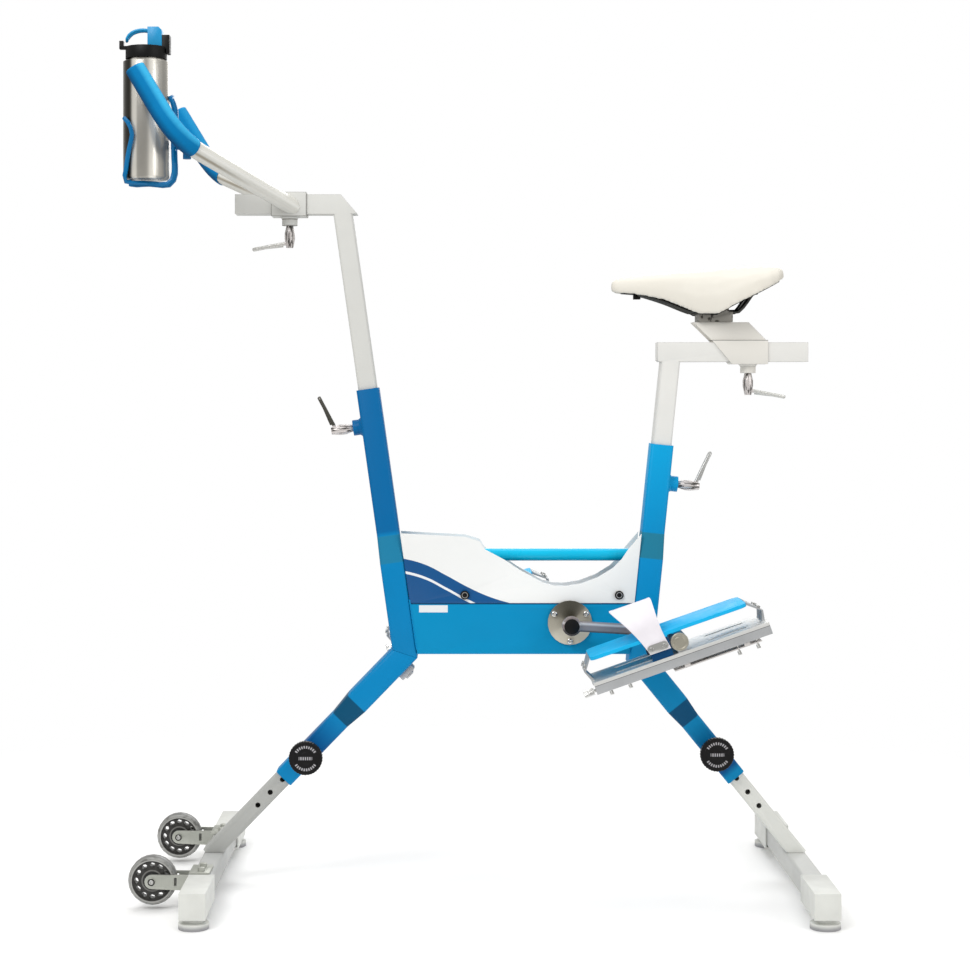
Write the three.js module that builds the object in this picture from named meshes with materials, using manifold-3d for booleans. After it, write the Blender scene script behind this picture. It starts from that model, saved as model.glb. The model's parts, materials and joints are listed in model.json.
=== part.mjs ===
// An aqua bike: a pool exercise bike whose finned pedals work against the water.
// Millimetres, +Z up. The rider faces -X, so -Y is the rider's left.
import * as THREE from 'three';
import { mergeVertices } from 'three/addons/utils/BufferGeometryUtils.js';
import Module from 'manifold-3d';

const wasm = await Module();
wasm.setup();

// Driving dimensions
const gap = 0.3;                 // between pieces that touch
const slideGap = 0.5;            // around a tube that slides in another
const overrun = 4;               // how far a cutting body runs past what it cuts
const farReach = 900;            // size of the blocks that trim ends
const wall = 2.5;                // all square tubes
const cornerRadius = 5;          // long edges of the square tubes

// Frame: a box beam between two leaning posts, with a leg sleeve under each post
const frontJoint = { x: -89, z: 364 };       // where post, leg and beam axes meet
const rearJoint = { x: 273.6, z: 354.2 };
const beam = { bottom: 364, height: 78, width: 60, wall: 3 };
const tubeBroad = { along: 37, across: 60 };  // posts near the beam
const postSlim = { along: 35, across: 45 };   // posts above their taper
const legSlim = { along: 31, across: 45 };    // leg sleeves below their taper
const frontPost = { leanDegrees: -8.06, length: 411, taperStart: 140.4, taperEnd: 182.8, clampDrop: 56.6 };
const rearPost = { leanDegrees: 5.87, length: 332.7, taperStart: 156.8, taperEnd: 196, clampDrop: 58.7 };
const frontLeg = {
  leanDegrees: 44.08, length: 268.8, taperStart: 107, taperEnd: 143, knob: 216.5, tubeTop: 150,
};
const rearLeg = {
  leanDegrees: -39.06, length: 234.2, taperStart: 90, taperEnd: 122, knob: 180.7, tubeTop: 120,
};
const topBar = { diameter: 19, height: 514.5 };

// Clamp bosses on the posts and sliders, and the levers that turn in them
const boss = { diameter: 24, flare: 30, length: 15, bore: 9, bite: 1.2 };
const lever = {
  stud: 8, hub: 16, hubLength: 34, arm: 58, armRoot: 6.5, armTip: 11, armThick: 5.5, armHeight: 26,
};
const postLeverTiltDegrees = 20;
const sliderLeverTiltDegrees = 11;

// Side covers above the beam
const cover = { thickness: 3, height: 107 };
const coverBolt = { diameter: 6, head: 13, headThick: 2.5, height: 12.5, frontInset: 86, rearInset: 25 };
// Along the cover from the front post, and above the beam
const coverEdgeShares = [
  [0, 1], [0.268, 0.95], [0.329, 0.885], [0.348, 0.769], [0.433, 0.612], [0.493, 0.474],
  [0.592, 0.292], [0.641, 0.251], [0.691, 0.246], [0.757, 0.279], [0.83, 0.37], [0.891, 0.502],
  [0.927, 0.633], [0.951, 0.773], [1, 0.994],
];

// Crank set
const crankAxis = { x: 164.4, z: 412.5 };
const axle = { diameter: 16 };
const bearing = {
  flange: 68, flangeThick: 4, barrel: 42, barrelLength: 14, screw: 10, screwHead: 3, screwCircle: 28,
};
const crank = {
  length: 150, turnDegrees: 3.4, height: 15, thick: 11, boss: 29, bossThick: 15, inner: 69.5, eye: 26,
};
const crankCap = { diameter: 23, thick: 3 };

// Pedals: two parallel plates that push water, around a barrel
const pedal = {
  inner: 102, width: 98, tiltDegrees: -19.3, front: 138, rear: 132, platformFront: 131, platformRear: 110,
};
const spindle = { diameter: 12, collar: 18, collarLength: 6 };
const barrel = { diameter: 26.6, bore: 12.8 };
const platform = { bottom: 15.7, thick: 5.3, corner: 12 };
const chassis = { top: -15.5, thick: 2, flange: 16, slotLength: 60, slotWidth: 8, slotPlace: 72 };
const bracket = { thick: 2.5, width: 50, reach: 14 };
const anchor = { front: 46, rear: 14, depth: 10 };
const strap = {
  thick: 2.4, foot: -6, shoulder: 25, rise: 68, footWidth: 32, crownWidth: 64, crownForward: 19, bulge: 4,
};

// Handlebar post, stem and slider
const handlebarPost = { inserted: 230 };
const stem = { front: -351, rear: -162.5, cutBack: 25.5, bottom: 1041, height: 30 };
const slider = { wall: 3, length: 54.4, place: -267.8 };
const handlebar = {
  diameter: 26.5, wall: 2, baseRise: 13, baseBack: 1.8, halfWidth: 235, bendX: -411, bendZ: 1130,
  endX: -471, endZ: 1230, bendStart: 48.6, gripLength: 143,
};
const grip = { inside: 0.3, thick: 1.4, end: 4 };

// Seat post, beam, slider and saddle
const seatPost = { inserted: 150 };
const seatBeam = { front: 300.5, rear: 532.4, bottom: 813, height: 30 };
const seatSlider = {
  front: 383.5, lowerFront: 414.2, rear: 470, blockTop: 874, blockFront: 355.1, blockRear: 440.4,
};
const seatBlock = { halfWidth: 20 };
const saddleClamp = { x: 389, length: 52, height: 12, jawLength: 40, jawHeight: 10, halfWidth: 28 };
const rail = {
  diameter: 7, halfSpread: 21, straight: 34, noseX: 268, noseHeight: 27, tailX: 448, tailHeight: 33,
  tailSpread: 33, tailBend: 17.5, noseBend: 7,
};
// How much of the spread, and how much of the nose's height, the rail has at its bends
const railShares = { tailBend: 1.25, straight: 0.75, noseSpread: 0.8, noseRise: 0.6 };
const saddle = { nose: 230, rear: 492, halfWidth: 76, top: 962, drop: 78, rim: 6, skin: 2.2 };
const hollowShare = 0.5;
const fullnessShare = 0.75;
// Station along the saddle; its half width; its top and its lowest edge below the highest top;
// and how far its underside is hollowed
const saddleShares = [
  [0, 0.12, 0.33, 0.49], [0.02, 0.18, 0.28, 0.54], [0.06, 0.23, 0.24, 0.56], [0.15, 0.29, 0.21, 0.58],
  [0.3, 0.36, 0.17, 0.68], [0.42, 0.48, 0.15, 0.85], [0.5, 0.62, 0.13, 0.98], [0.6, 0.8, 0.09, 1],
  [0.7, 0.92, 0.05, 0.81], [0.82, 1, 0.01, 0.61], [0.9, 0.98, 0, 0.47], [0.96, 0.86, 0.01, 0.36],
  [0.99, 0.68, 0.05, 0.29], [1, 0.5, 0.1, 0.25],
];

// Telescopic legs, floor bars and feet
const hole = { diameter: 8, pitch: 27.3 };
const holesBelowKnob = 4;
const knob = { diameter: 52, thick: 11, hub: 24, hubLength: 11, pin: 7.6, pinSleeve: 18, sleeveEnd: 36 };
const ground = 4.5;                // height of the floor in these places
const floorBar = { along: 32, tall: 33, bottom: 19 };
const footCap = { along: 38, tall: 38, length: 118, halfSpan: 288, end: 4 };
const floorBarHalf = footCap.halfSpan - footCap.end;
const footPad = { diameter: 44, thick: 16, neck: 26, neckStart: 9 };
const legFoot = { front: -384, rear: 513.8, height: 58, overhang: 14 };

// Transport wheels at the front
const wheel = {
  x: -458, z: 42.5, capSpace: 18, diameter: 72, width: 24, bore: 9, hubDiameter: 59, hubRecess: 3.5, hub: 20,
};
const wheelWindowCount = 12;
const wheelWindow = { diameter: 6.4, circle: 47, stretchShare: 1.4 };
const fork = {
  plate: 3, sideGap: 1, height: 26, tab: 27, inboard: 24, tabBolt: 11, boltHead: 5, nose: 21, axleHead: 12,
  slotPlace: 35, slotWidth: 4, slotHeight: 12,
};
const noseSteps = 8;

// Drinking bottle in its cage on the left handlebar tube
const bottle = { x: -465, y: -172, diameter: 67.8, bottom: 1077.6, height: 172.4, neck: 54, wall: 1.5 };
const lid = {
  rise: 4, height: 18, diameter: 61, skirt: 3, lugHeight: 17, hornReach: 8.5, hornArm: 1.5, hornTip: 6,
  hornHeight: 9, hornHalf: 5, catchReach: 4.5, catchDrop: 10,
};
const spout = {
  ahead: 13.5, width: 21, depth: 20, rise: 23.5, foot: 5.5, slant: 5, loop: 4.4, loopReach: 42,
};
// Share of the loop's reach, of half the spout's depth and of the spout's height over its foot
const loopShares = [[0, 0.62, 0.7], [0.45, 0.62, 0.82], [0.8, 0.6, 0.66], [0.97, 0.5, 0.35], [1, 0, 0.14]];
const cage = {
  rod: 7, tip: 1165, hook: 1158, pinch: 1146, swell: 1138, waist: 1119, calf: 1097, knee: 1084, floor: 1072,
  railTop: 1187, crown: 1199, railOut: 3, railHalf: 11, link: 11, linkHeight: 1128, linkHalf: 7,
    linkRadius: 5,
  linkStart: 8, knob: 12, knobDrop: 16, knobPlace: 20,
};
// Degrees from the bottle's front at which each front rod stands, at the heights above
const cageTurn = {
  tipDegrees: 42, hookDegrees: 55, pinchDegrees: 65, swellDegrees: 66, waistDegrees: 58, calfDegrees: 50,
  kneeDegrees: 46, floorDegrees: 40, topDegrees: 160,
};

// Colours and finishes
const finish = (color, roughness, metalness) => ({ color, roughness, metalness });
const finishes = {
  bluePaint: finish(0x0093cc, 0.35, 0.1),
  whitePaint: finish(0xe4e6e8, 0.4, 0.1),
  coverPlastic: finish(0xf1f3f4, 0.45, 0),
  steel: finish(0xb9bdc1, 0.28, 0.95),
  aluminium: finish(0xa9b4bd, 0.4, 0.85),
  chrome: finish(0xc9ccd0, 0.15, 1),
  darkMetal: finish(0x3b3f43, 0.45, 0.6),
  blackPlastic: finish(0x17181a, 0.5, 0),
  lightBlue: finish(0x35a9de, 0.5, 0),
  gripRubber: finish(0x1386c4, 0.75, 0),
  wheelRubber: finish(0x9ea3a6, 0.45, 0),
  strapWhite: finish(0xeceeee, 0.6, 0),
  saddleCream: finish(0xe9e7e0, 0.65, 0),
};

// Shapes: every function takes and returns a closed three.js geometry
function solidOf(geometry) {
  const bare = geometry.clone();
  bare.deleteAttribute('normal');
  bare.deleteAttribute('uv');
  const merged = mergeVertices(bare);
  const corners = merged.index.array;
  const triVerts = [];
  for (let first = 0; first < corners.length; first += 3) {
    const [a, b, c] = corners.slice(first, first + 3);
    if (a !== b && b !== c && c !== a) triVerts.push(a, b, c);
  }
  return new wasm.Manifold(new wasm.Mesh({
    numProp: 3,
    vertProperties: new Float32Array(merged.attributes.position.array),
    triVerts: new Uint32Array(triVerts),
  }));
}

function geometryOf(solid) {
  const { vertProperties, triVerts } = solid.getMesh();
  const geometry = new THREE.BufferGeometry();
  geometry.setAttribute('position', new THREE.BufferAttribute(vertProperties, 3));
  geometry.setIndex(new THREE.BufferAttribute(triVerts, 1));
  return geometry;
}

function join(first, ...others) {
  return geometryOf(others.reduce((sum, other) => sum.add(solidOf(other)), solidOf(first)));
}

function cut(body, ...tools) {
  return geometryOf(tools.reduce((rest, tool) => rest.subtract(solidOf(tool)), solidOf(body)));
}

function common(body, tool) {
  return geometryOf(solidOf(body).intersect(solidOf(tool)));
}

const radians = THREE.MathUtils.degToRad;
const sine = (degrees) => Math.sin(radians(degrees));
const cosine = (degrees) => Math.cos(radians(degrees));
const tangent = (degrees) => Math.tan(radians(degrees));

function block(x0, x1, y0, y1, z0, z1) {
  return new THREE.BoxGeometry(x1 - x0, Math.abs(y1 - y0), z1 - z0)
    .translate((x0 + x1) / 2, (y0 + y1) / 2, (z0 + z1) / 2);
}

// A round bar along Y between two places
function crossBar(radius, y0, y1, sides = 16) {
  return new THREE.CylinderGeometry(radius, radius, Math.abs(y1 - y0), sides).translate(0, (y0 + y1) / 2, 0);
}

// A round bar along Z between two heights
function uprightBar(radius, z0, z1, sides = 16) {
  return new THREE.CylinderGeometry(radius, radius, z1 - z0, sides)
    .rotateX(Math.PI / 2).translate(0, 0, (z0 + z1) / 2);
}

// A turned shape about Z from its profile of [radius, height]
function turned(profile, sides = 24) {
  const points = profile.map(([radius, height]) => new THREE.Vector2(radius, height));
  return new THREE.LatheGeometry(points, sides).rotateX(Math.PI / 2);
}

// A side outline of [x, z] points given a thickness along Y
function sidePlate(outline, y0, y1) {
  const shape = new THREE.Shape(outline.map(([x, z]) => new THREE.Vector2(x, z)));
  return new THREE.ExtrudeGeometry(shape, { depth: y1 - y0, bevelEnabled: false })
    .rotateX(Math.PI / 2).translate(0, y1, 0);
}

function roundedOutline(along, across, radius) {
  const x = along / 2;
  const y = across / 2;
  const shape = new THREE.Shape();
  shape.moveTo(x, radius - y);
  shape.absarc(x - radius, y - radius, radius, 0, Math.PI / 2);
  shape.absarc(radius - x, y - radius, radius, Math.PI / 2, Math.PI);
  shape.absarc(radius - x, radius - y, radius, Math.PI, 1.5 * Math.PI);
  shape.absarc(x - radius, radius - y, radius, 1.5 * Math.PI, 2 * Math.PI);
  return shape;
}

// A bar of rounded section along Z
function roundedBar(along, across, radius, z0, z1, curveSegments = 2) {
  return new THREE.ExtrudeGeometry(roundedOutline(along, across, radius), {
    depth: z1 - z0, bevelEnabled: false, curveSegments,
  }).translate(0, 0, z0);
}

// A closed skin over rings of equal counts of points
function loft(rings) {
  const count = rings[0].length;
  const index = [];
  for (let ring = 0; ring + 1 < rings.length; ring += 1) {
    for (let place = 0; place < count; place += 1) {
      const next = (place + 1) % count;
      const [a, b] = [ring * count + place, ring * count + next];
      index.push(a, b, b + count, a, b + count, a + count);
    }
  }
  const last = (rings.length - 1) * count;
  for (let place = 1; place + 1 < count; place += 1) {
    index.push(0, place + 1, place, last, last + place, last + place + 1);
  }
  const geometry = new THREE.BufferGeometry();
  const flat = rings.flat().flatMap((point) => [point.x, point.y, point.z]);
  geometry.setAttribute('position', new THREE.Float32BufferAttribute(flat, 3));
  geometry.setIndex(index);
  return geometry;
}

function sectionRing(along, across, radius, z, x = 0) {
  const points = roundedOutline(along, across, radius).getPoints(2);
  const first = points[0];
  const open = points.filter((point, place) => place === 0 || !point.equals(points[place - 1]));
  if (open[open.length - 1].distanceTo(first) < radius / 10) open.pop();
  return open.map((point) => new THREE.Vector3(point.x + x, point.y, z));
}

// A block that fills the side of a plane to which the leaning direction points
function beyond(x, z, degrees) {
  return new THREE.BoxGeometry(farReach, farReach, farReach)
    .translate(0, 0, farReach / 2).rotateY(radians(degrees)).translate(x, 0, z);
}

// A part of a curve, with a ring at each given share of its length
class Stretch extends THREE.Curve {
  constructor(curve, stops) {
    super();
    Object.assign(this, { curve, stops });
  }

  shareAt(along) {
    const place = along * (this.stops.length - 1);
    const lower = Math.min(Math.floor(place), this.stops.length - 2);
    return THREE.MathUtils.lerp(this.stops[lower], this.stops[lower + 1], place - lower);
  }

  getPoint(along, target = new THREE.Vector3()) {
    return this.curve.getPointAt(this.shareAt(along), target);
  }

  getPointAt(along, target) {
    return this.getPoint(along, target);
  }

  getTangentAt(along, target = new THREE.Vector3()) {
    return this.curve.getTangentAt(this.shareAt(along), target);
  }
}

function roundTube(curve, radius, steps, sides = 16, bore = 0) {
  const shape = new THREE.Shape().absarc(0, 0, radius, 0, 2 * Math.PI);
  if (bore > 0) shape.holes.push(new THREE.Path().absarc(0, 0, bore, 0, 2 * Math.PI, true));
  return new THREE.ExtrudeGeometry(shape, { steps, extrudePath: curve, curveSegments: sides / 2 });
}

// The scene graph
const bike = new THREE.Group();
function piece(parent, name, geometry, look) {
  const material = new THREE.MeshStandardMaterial({ ...look, flatShading: true });
  const mesh = new THREE.Mesh(geometry, material);
  mesh.name = name;
  parent.add(mesh);
  return mesh;
}

function frameAt(parent, name, x, y, z, leanDegrees = 0) {
  const group = new THREE.Group();
  group.name = name;
  group.position.set(x, y, z);
  group.rotation.y = radians(leanDegrees);
  parent.add(group);
  return group;
}

const sides = [{ name: 'left', sign: -1 }, { name: 'right', sign: 1 }];

// Frame: posts and leg sleeves
function taperedTube(broad, slim, taper, z0, z1, inset) {
  const radius = cornerRadius - inset / 2;
  const ring = (size, z) => sectionRing(size.along - 2 * inset, size.across - 2 * inset, radius, z);
  return loft(taper === null
    ? [ring(slim, z0), ring(slim, z1)]
    : [ring(broad, z0), ring(broad, taper[0]), ring(slim, taper[1]), ring(slim, z1)]);
}

// How far up a post its clamp lever stands
function clampPlace(post) {
  return post.length - post.clampDrop;
}

// A tube whose lower part is broad
function postTube(post) {
  const taper = [post.taperStart, post.taperEnd];
  const outside = taperedTube(tubeBroad, postSlim, taper, -tubeBroad.across, post.length, 0);
  const inside = taperedTube(tubeBroad, postSlim, taper, -tubeBroad.across - overrun,
    post.length + overrun, wall);
  return cut(outside, inside);
}

// A tube whose upper part is broad, running down from its joint
function sleeveTube(leg) {
  const taper = [leg.taperStart, leg.taperEnd];
  const outside = taperedTube(tubeBroad, legSlim, taper, -tubeBroad.across, leg.length, 0);
  const inside = taperedTube(tubeBroad, legSlim, taper, -tubeBroad.across - overrun, leg.length + overrun,
    wall);
  return cut(outside, inside).rotateY(Math.PI);
}

function clampBoss(radius, baseRadius, length) {
  return turned([[0, 0], [baseRadius, 0], [baseRadius, boss.bite], [radius, length / 3], [radius, length],
    [0, length]], 16);
}

function bossBore(depth) {
  return uprightBar(boss.bore / 2, -depth, boss.length + overrun, 10);
}

function towardX(geometry, sign) {
  return geometry.rotateY(sign * Math.PI / 2);
}

function mitreDegrees(post, leg) {
  return (post.leanDegrees + leg.leanDegrees) / 2;
}

// The post keeps the side above the mitre, the sleeve the side below
function mitreCut(part, leanDegrees, mitre, sign) {
  const degrees = mitre - leanDegrees;
  const [x, z] = [sign * sine(degrees) * gap / 2, sign * cosine(degrees) * gap / 2];
  return cut(part, beyond(x, z, sign > 0 ? degrees + 180 : degrees));
}

const ends = [
  { name: 'front', joint: frontJoint, post: frontPost, leg: frontLeg, bossSign: -1, footX: legFoot.front },
  { name: 'rear', joint: rearJoint, post: rearPost, leg: rearLeg, bossSign: 1, footX: legFoot.rear },
];

for (const end of ends) {
  const mitre = mitreDegrees(end.post, end.leg);
  const postFrame = frameAt(bike, `${end.name}_post_frame`, end.joint.x, 0, end.joint.z,
    end.post.leanDegrees);
  const face = end.bossSign * (postSlim.along / 2 - boss.bite);
  const placeBoss = (geometry) => towardX(geometry, end.bossSign).translate(face, 0, clampPlace(end.post));
  const withBoss = join(postTube(end.post), placeBoss(clampBoss(boss.diameter / 2, boss.flare / 2,
    boss.length)));
  const inner = taperedTube(null, postSlim, null, end.post.taperEnd, end.post.length + overrun, wall);
  const clean = cut(withBoss, inner, placeBoss(bossBore(2 * wall)));
  piece(postFrame, `${end.name}_post`, mitreCut(clean, end.post.leanDegrees, mitre, 1), finishes.bluePaint);

  const legFrame = frameAt(bike, `${end.name}_leg_frame`, end.joint.x, 0, end.joint.z, end.leg.leanDegrees);
  const pinBoss = crossBar(knob.pinSleeve / 2, -knob.sleeveEnd, wall - legSlim.across / 2)
    .translate(0, 0, -end.leg.knob);
  const pinHole = crossBar(knob.pin / 2 + gap, -knob.sleeveEnd - overrun, -legSlim.across / 4, 12)
    .translate(0, 0, -end.leg.knob);
  const sleeve = cut(join(sleeveTube(end.leg), pinBoss), pinHole);
  piece(legFrame, `${end.name}_leg_sleeve`, mitreCut(sleeve, end.leg.leanDegrees, mitre, -1),
    finishes.bluePaint);
}

// Where the beam and the covers meet the posts' faces at a height
function faceX(joint, post, z, sign) {
  const half = tubeBroad.along / 2 + gap;
  return joint.x + (z - joint.z) * tangent(post.leanDegrees) + sign * half / cosine(post.leanDegrees);
}
const frontFace = (z) => faceX(frontJoint, frontPost, z, 1);
const rearFace = (z) => faceX(rearJoint, rearPost, z, -1);
const beamTop = beam.bottom + beam.height;
const beamSide = beam.width / 2;

const beamOutline = [
  [frontFace(beam.bottom), beam.bottom], [rearFace(beam.bottom), beam.bottom],
  [rearFace(beamTop), beamTop], [frontFace(beamTop), beamTop],
];
const beamHollow = block(frontFace(beam.bottom) - farReach, rearFace(beamTop) + farReach,
  beam.wall - beamSide, beamSide - beam.wall, beam.bottom + beam.wall, beamTop - beam.wall);
const crankBore = crossBar(bearing.barrel / 2 + gap, -beamSide - overrun, beamSide + overrun, 20)
  .translate(crankAxis.x, 0, crankAxis.z);
piece(bike, 'main_beam', cut(sidePlate(beamOutline, -beamSide, beamSide), beamHollow, crankBore),
  finishes.bluePaint);

const barHalf = topBar.diameter / 2;
const barLength = rearFace(topBar.height) - frontFace(topBar.height);
const barCentre = (rearFace(topBar.height) + frontFace(topBar.height)) / 2;
const longBar = uprightBar(barHalf, -barLength, barLength).rotateY(Math.PI / 2);
const barBore = uprightBar(barHalf - wall, -farReach, farReach, 12).rotateY(Math.PI / 2);
const barFront = beyond(-barLength / 2, 0, frontPost.leanDegrees - 90);
const barRear = beyond(barLength / 2, 0, rearPost.leanDegrees + 90);
piece(frameAt(bike, 'top_bar_frame', barCentre, 0, topBar.height), 'top_bar',
  cut(longBar, barBore, barFront, barRear), finishes.bluePaint);

// Side covers between the posts, stood on the beam and tied by two through bolts
const coverBottom = beamTop + gap;
const coverBoltZ = coverBottom + coverBolt.height;
const coverBolts = [
  { name: 'front', x: frontFace(coverBoltZ) + coverBolt.frontInset },
  { name: 'rear', x: rearFace(coverBoltZ) - coverBolt.rearInset },
];
function coverOutline() {
  const edge = coverEdgeShares.map(([along, up]) => {
    const z = coverBottom + up * cover.height;
    return [frontFace(z) + along * (rearFace(z) - frontFace(z)), z];
  });
  return [[frontFace(coverBottom), coverBottom], [rearFace(coverBottom), coverBottom], ...edge.reverse()];
}
for (const side of sides) {
  const inner = beamSide - cover.thickness;
  const panel = side.sign > 0
    ? sidePlate(coverOutline(), inner, beamSide)
    : sidePlate(coverOutline(), -beamSide, -inner);
  const holes = coverBolts.map((bolt) => crossBar(coverBolt.diameter / 2 + gap, -beamSide - overrun,
    beamSide + overrun, 12).translate(bolt.x, 0, coverBoltZ));
  piece(bike, `cover_${side.name}`, cut(panel, ...holes), finishes.coverPlastic);
}
for (const bolt of coverBolts) {
  const seat = beamSide + gap;
  const shank = crossBar(coverBolt.diameter / 2, -seat - gap, seat + gap, 12);
  const heads = sides.map((side) => crossBar(coverBolt.head / 2, side.sign * seat,
    side.sign * (seat + coverBolt.headThick), 16));
  piece(frameAt(bike, `cover_bolt_${bolt.name}_frame`, bolt.x, 0, coverBoltZ), `cover_bolt_${bolt.name}`,
    join(shank, ...heads), finishes.blackPlastic);
}

// Telescopic legs with floor bars, feet and spring pins
function innerTube(size, z0, z1) {
  const along = size.along - 2 * (wall + slideGap);
  const across = size.across - 2 * (wall + slideGap);
  const radius = cornerRadius - wall / 2;
  return cut(roundedBar(along, across, radius, z0, z1),
    block(wall - along / 2, along / 2 - wall, wall - across / 2, across / 2 - wall, z0 - overrun,
      z1 + overrun));
}

// A shape given in whole-bike places, seen from a leaning frame
function seenFrom(geometry, x, z, leanDegrees) {
  return geometry.translate(-x, 0, -z).rotateY(-radians(leanDegrees));
}

const barTop = floorBar.bottom + floorBar.tall;
for (const end of ends) {
  const { leg, joint, footX } = end;
  const frame = frameAt(bike, `${end.name}_leg_slide`, joint.x, 0, joint.z, leg.leanDegrees);
  const reach = (joint.z - ground - legFoot.height) / cosine(leg.leanDegrees) + legFoot.overhang;
  const barSpace = seenFrom(block(footX - floorBar.along / 2 - gap, footX + floorBar.along / 2 + gap,
    -floorBarHalf, floorBarHalf, ground, ground + barTop + gap), joint.x, joint.z, leg.leanDegrees);
  const holes = [];
  const lowest = leg.knob + hole.pitch * holesBelowKnob;
  for (let place = lowest; place > leg.tubeTop + hole.pitch / 2; place -= hole.pitch) {
    holes.push(crossBar(hole.diameter / 2, -legSlim.across, 0, 12).translate(0, 0, -place));
  }
  piece(frame, `${end.name}_leg_tube`, cut(innerTube(legSlim, -reach, -leg.tubeTop), barSpace, ...holes),
    finishes.whitePaint);

  // The floor bar and its feet
  const foot = frameAt(bike, `${end.name}_foot_frame`, footX, 0, ground);
  frame.attach(foot);
  const bar = roundedBar(floorBar.along, floorBar.tall, cornerRadius, -floorBarHalf,
    floorBarHalf)
    .rotateX(Math.PI / 2);
  const hollow = block(wall - floorBar.along / 2, floorBar.along / 2 - wall, -farReach, farReach,
    wall - floorBar.tall / 2, floorBar.tall / 2 - wall);
  piece(foot, `${end.name}_floor_bar`, cut(bar, hollow), finishes.whitePaint)
    .position.z = floorBar.bottom + floorBar.tall / 2;
  for (const side of sides) {
    const hand = new THREE.Group();
    hand.scale.y = side.sign;
    foot.add(hand);
    const capInner = footCap.halfSpan - footCap.length;
    const capBottom = footPad.thick;
    const padY = footCap.halfSpan - footPad.diameter / 2;
    const cap = block(-footCap.along / 2, footCap.along / 2, capInner, footCap.halfSpan, capBottom,
      capBottom + footCap.tall);
    const room = block(-floorBar.along / 2 - gap, floorBar.along / 2 + gap, capInner - overrun,
      floorBarHalf + gap, floorBar.bottom - gap, barTop + gap);
    const pad = turned([[0, 0], [footPad.diameter / 2, 0], [footPad.diameter / 2, footPad.neckStart],
      [footPad.neck / 2, footPad.neckStart], [footPad.neck / 2, capBottom + gap], [0, capBottom + gap]], 24);
    piece(hand, `${end.name}_foot_${side.name}`, join(cut(cap, room), pad.translate(0, padY, 0)),
      finishes.whitePaint);
  }

  // The spring pin is drawn back to the inner tube's face, so that the tube slides past it
  const pinStart = legSlim.across / 2 - wall;
  const knobStart = knob.sleeveEnd + gap;
  const knobFrame = frameAt(bike, `${end.name}_pin_pull`, joint.x - leg.knob * sine(leg.leanDegrees), 0,
    joint.z - leg.knob * cosine(leg.leanDegrees));
  const pin = crossBar(knob.pin / 2, -knobStart - gap, -pinStart, 12);
  const hub = crossBar(knob.hub / 2, -knobStart - knob.hubLength, -knobStart, 20);
  const discEdge = knob.thick / 4;
  const disc = turned([[0, 0], [knob.diameter / 2 - discEdge, 0], [knob.diameter / 2, discEdge],
    [knob.diameter / 2, knob.thick - discEdge], [knob.diameter / 2 - discEdge, knob.thick], [0,
      knob.thick]], 24)
    .rotateX(Math.PI / 2).translate(0, gap - knobStart - knob.hubLength, 0);
  piece(knobFrame, `${end.name}_pin_knob`, join(pin, hub, disc), finishes.blackPlastic);
}

// Transport wheels in forks bolted to the front floor bar
const frontFoot = bike.getObjectByName('front_foot_frame');
const wheelY = footCap.halfSpan - footCap.length - wheel.capSpace;
const barFace = legFoot.front - floorBar.along / 2;
for (const side of sides) {
  const place = frameAt(bike, `wheel_${side.name}_spin`, wheel.x, side.sign * wheelY, ground + wheel.z);
  frontFoot.attach(place);
  const radius = wheel.diameter / 2;
  const half = wheel.width / 2;
  const bevel = half / 2;
  const hubRadius = wheel.hubDiameter / 2;
  const recess = half - wheel.hubRecess;
  const profile = [[0, -half], [wheel.hub / 2, -half], [wheel.hub / 2, -recess], [hubRadius, -recess],
    [hubRadius, -half],
    [radius - bevel / 2, -half], [radius, -bevel], [radius, bevel], [radius - bevel / 2, half], [hubRadius,
      half], [hubRadius, recess], [wheel.hub / 2, recess],
    [wheel.hub / 2, half], [0, half]];
  const windows = [];
  for (let count = 0; count < wheelWindowCount; count += 1) {
    windows.push(crossBar(wheelWindow.diameter / 2, -wheel.width, wheel.width, 8)
      .scale(1, 1, wheelWindow.stretchShare).translate(wheelWindow.circle / 2, 0, 0)
      .rotateY(2 * Math.PI * count / wheelWindowCount));
  }
  const bore = crossBar(wheel.bore / 2, -wheel.width, wheel.width, 16);
  piece(place, `wheel_${side.name}`, cut(turned(profile, 24).rotateX(Math.PI / 2), bore, ...windows),
    finishes.wheelRubber);

  const cheek = half + fork.sideGap;
  const outer = cheek + fork.plate;
  const back = barFace - gap - wheel.x;
  const tabBottom = barTop + gap - wheel.z;
  const plateOutline = [[back, -fork.height / 2], [back, tabBottom]];
  for (let step = 0; step <= noseSteps; step += 1) {
    const turn = 90 + 180 * step / noseSteps;
    plateOutline.push([fork.nose / 2 * cosine(turn), fork.nose / 2 * sine(turn)]);
  }
  const cheeks = [sidePlate(plateOutline, cheek, outer), sidePlate(plateOutline, -outer, -cheek)];
  const web = block(back - fork.plate, back, -outer, outer, -fork.height / 2, tabBottom + fork.plate);
  const inward = -side.sign;
  const tab = block(back - fork.plate, back + fork.tab, -inward * outer, inward * (outer + fork.inboard),
    tabBottom, tabBottom + fork.plate);
  const heads = [0, outer + fork.inboard / 2].map((y) => uprightBar(fork.tabBolt / 2,
    tabBottom + fork.plate - gap,
    tabBottom + fork.plate + fork.boltHead, 12).translate(back + fork.tab / 2, inward * y, 0));
  const pin = crossBar((wheel.bore - gap) / 2 - gap, -outer, outer, 16);
  const axleHeads = sides.map(({ sign }) => crossBar(fork.axleHead / 2, sign * (outer - gap),
    sign * (outer + fork.plate), 12));
  const slot = block(fork.slotPlace - fork.slotWidth / 2, fork.slotPlace + fork.slotWidth / 2, -farReach,
    farReach, -fork.slotHeight / 2, fork.slotHeight / 2);
  piece(frontFoot, `wheel_fork_${side.name}`,
    cut(join(...cheeks, web, tab, ...heads, pin, ...axleHeads), slot), finishes.steel)
    .position.set(wheel.x - legFoot.front, side.sign * wheelY, wheel.z);
}

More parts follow.
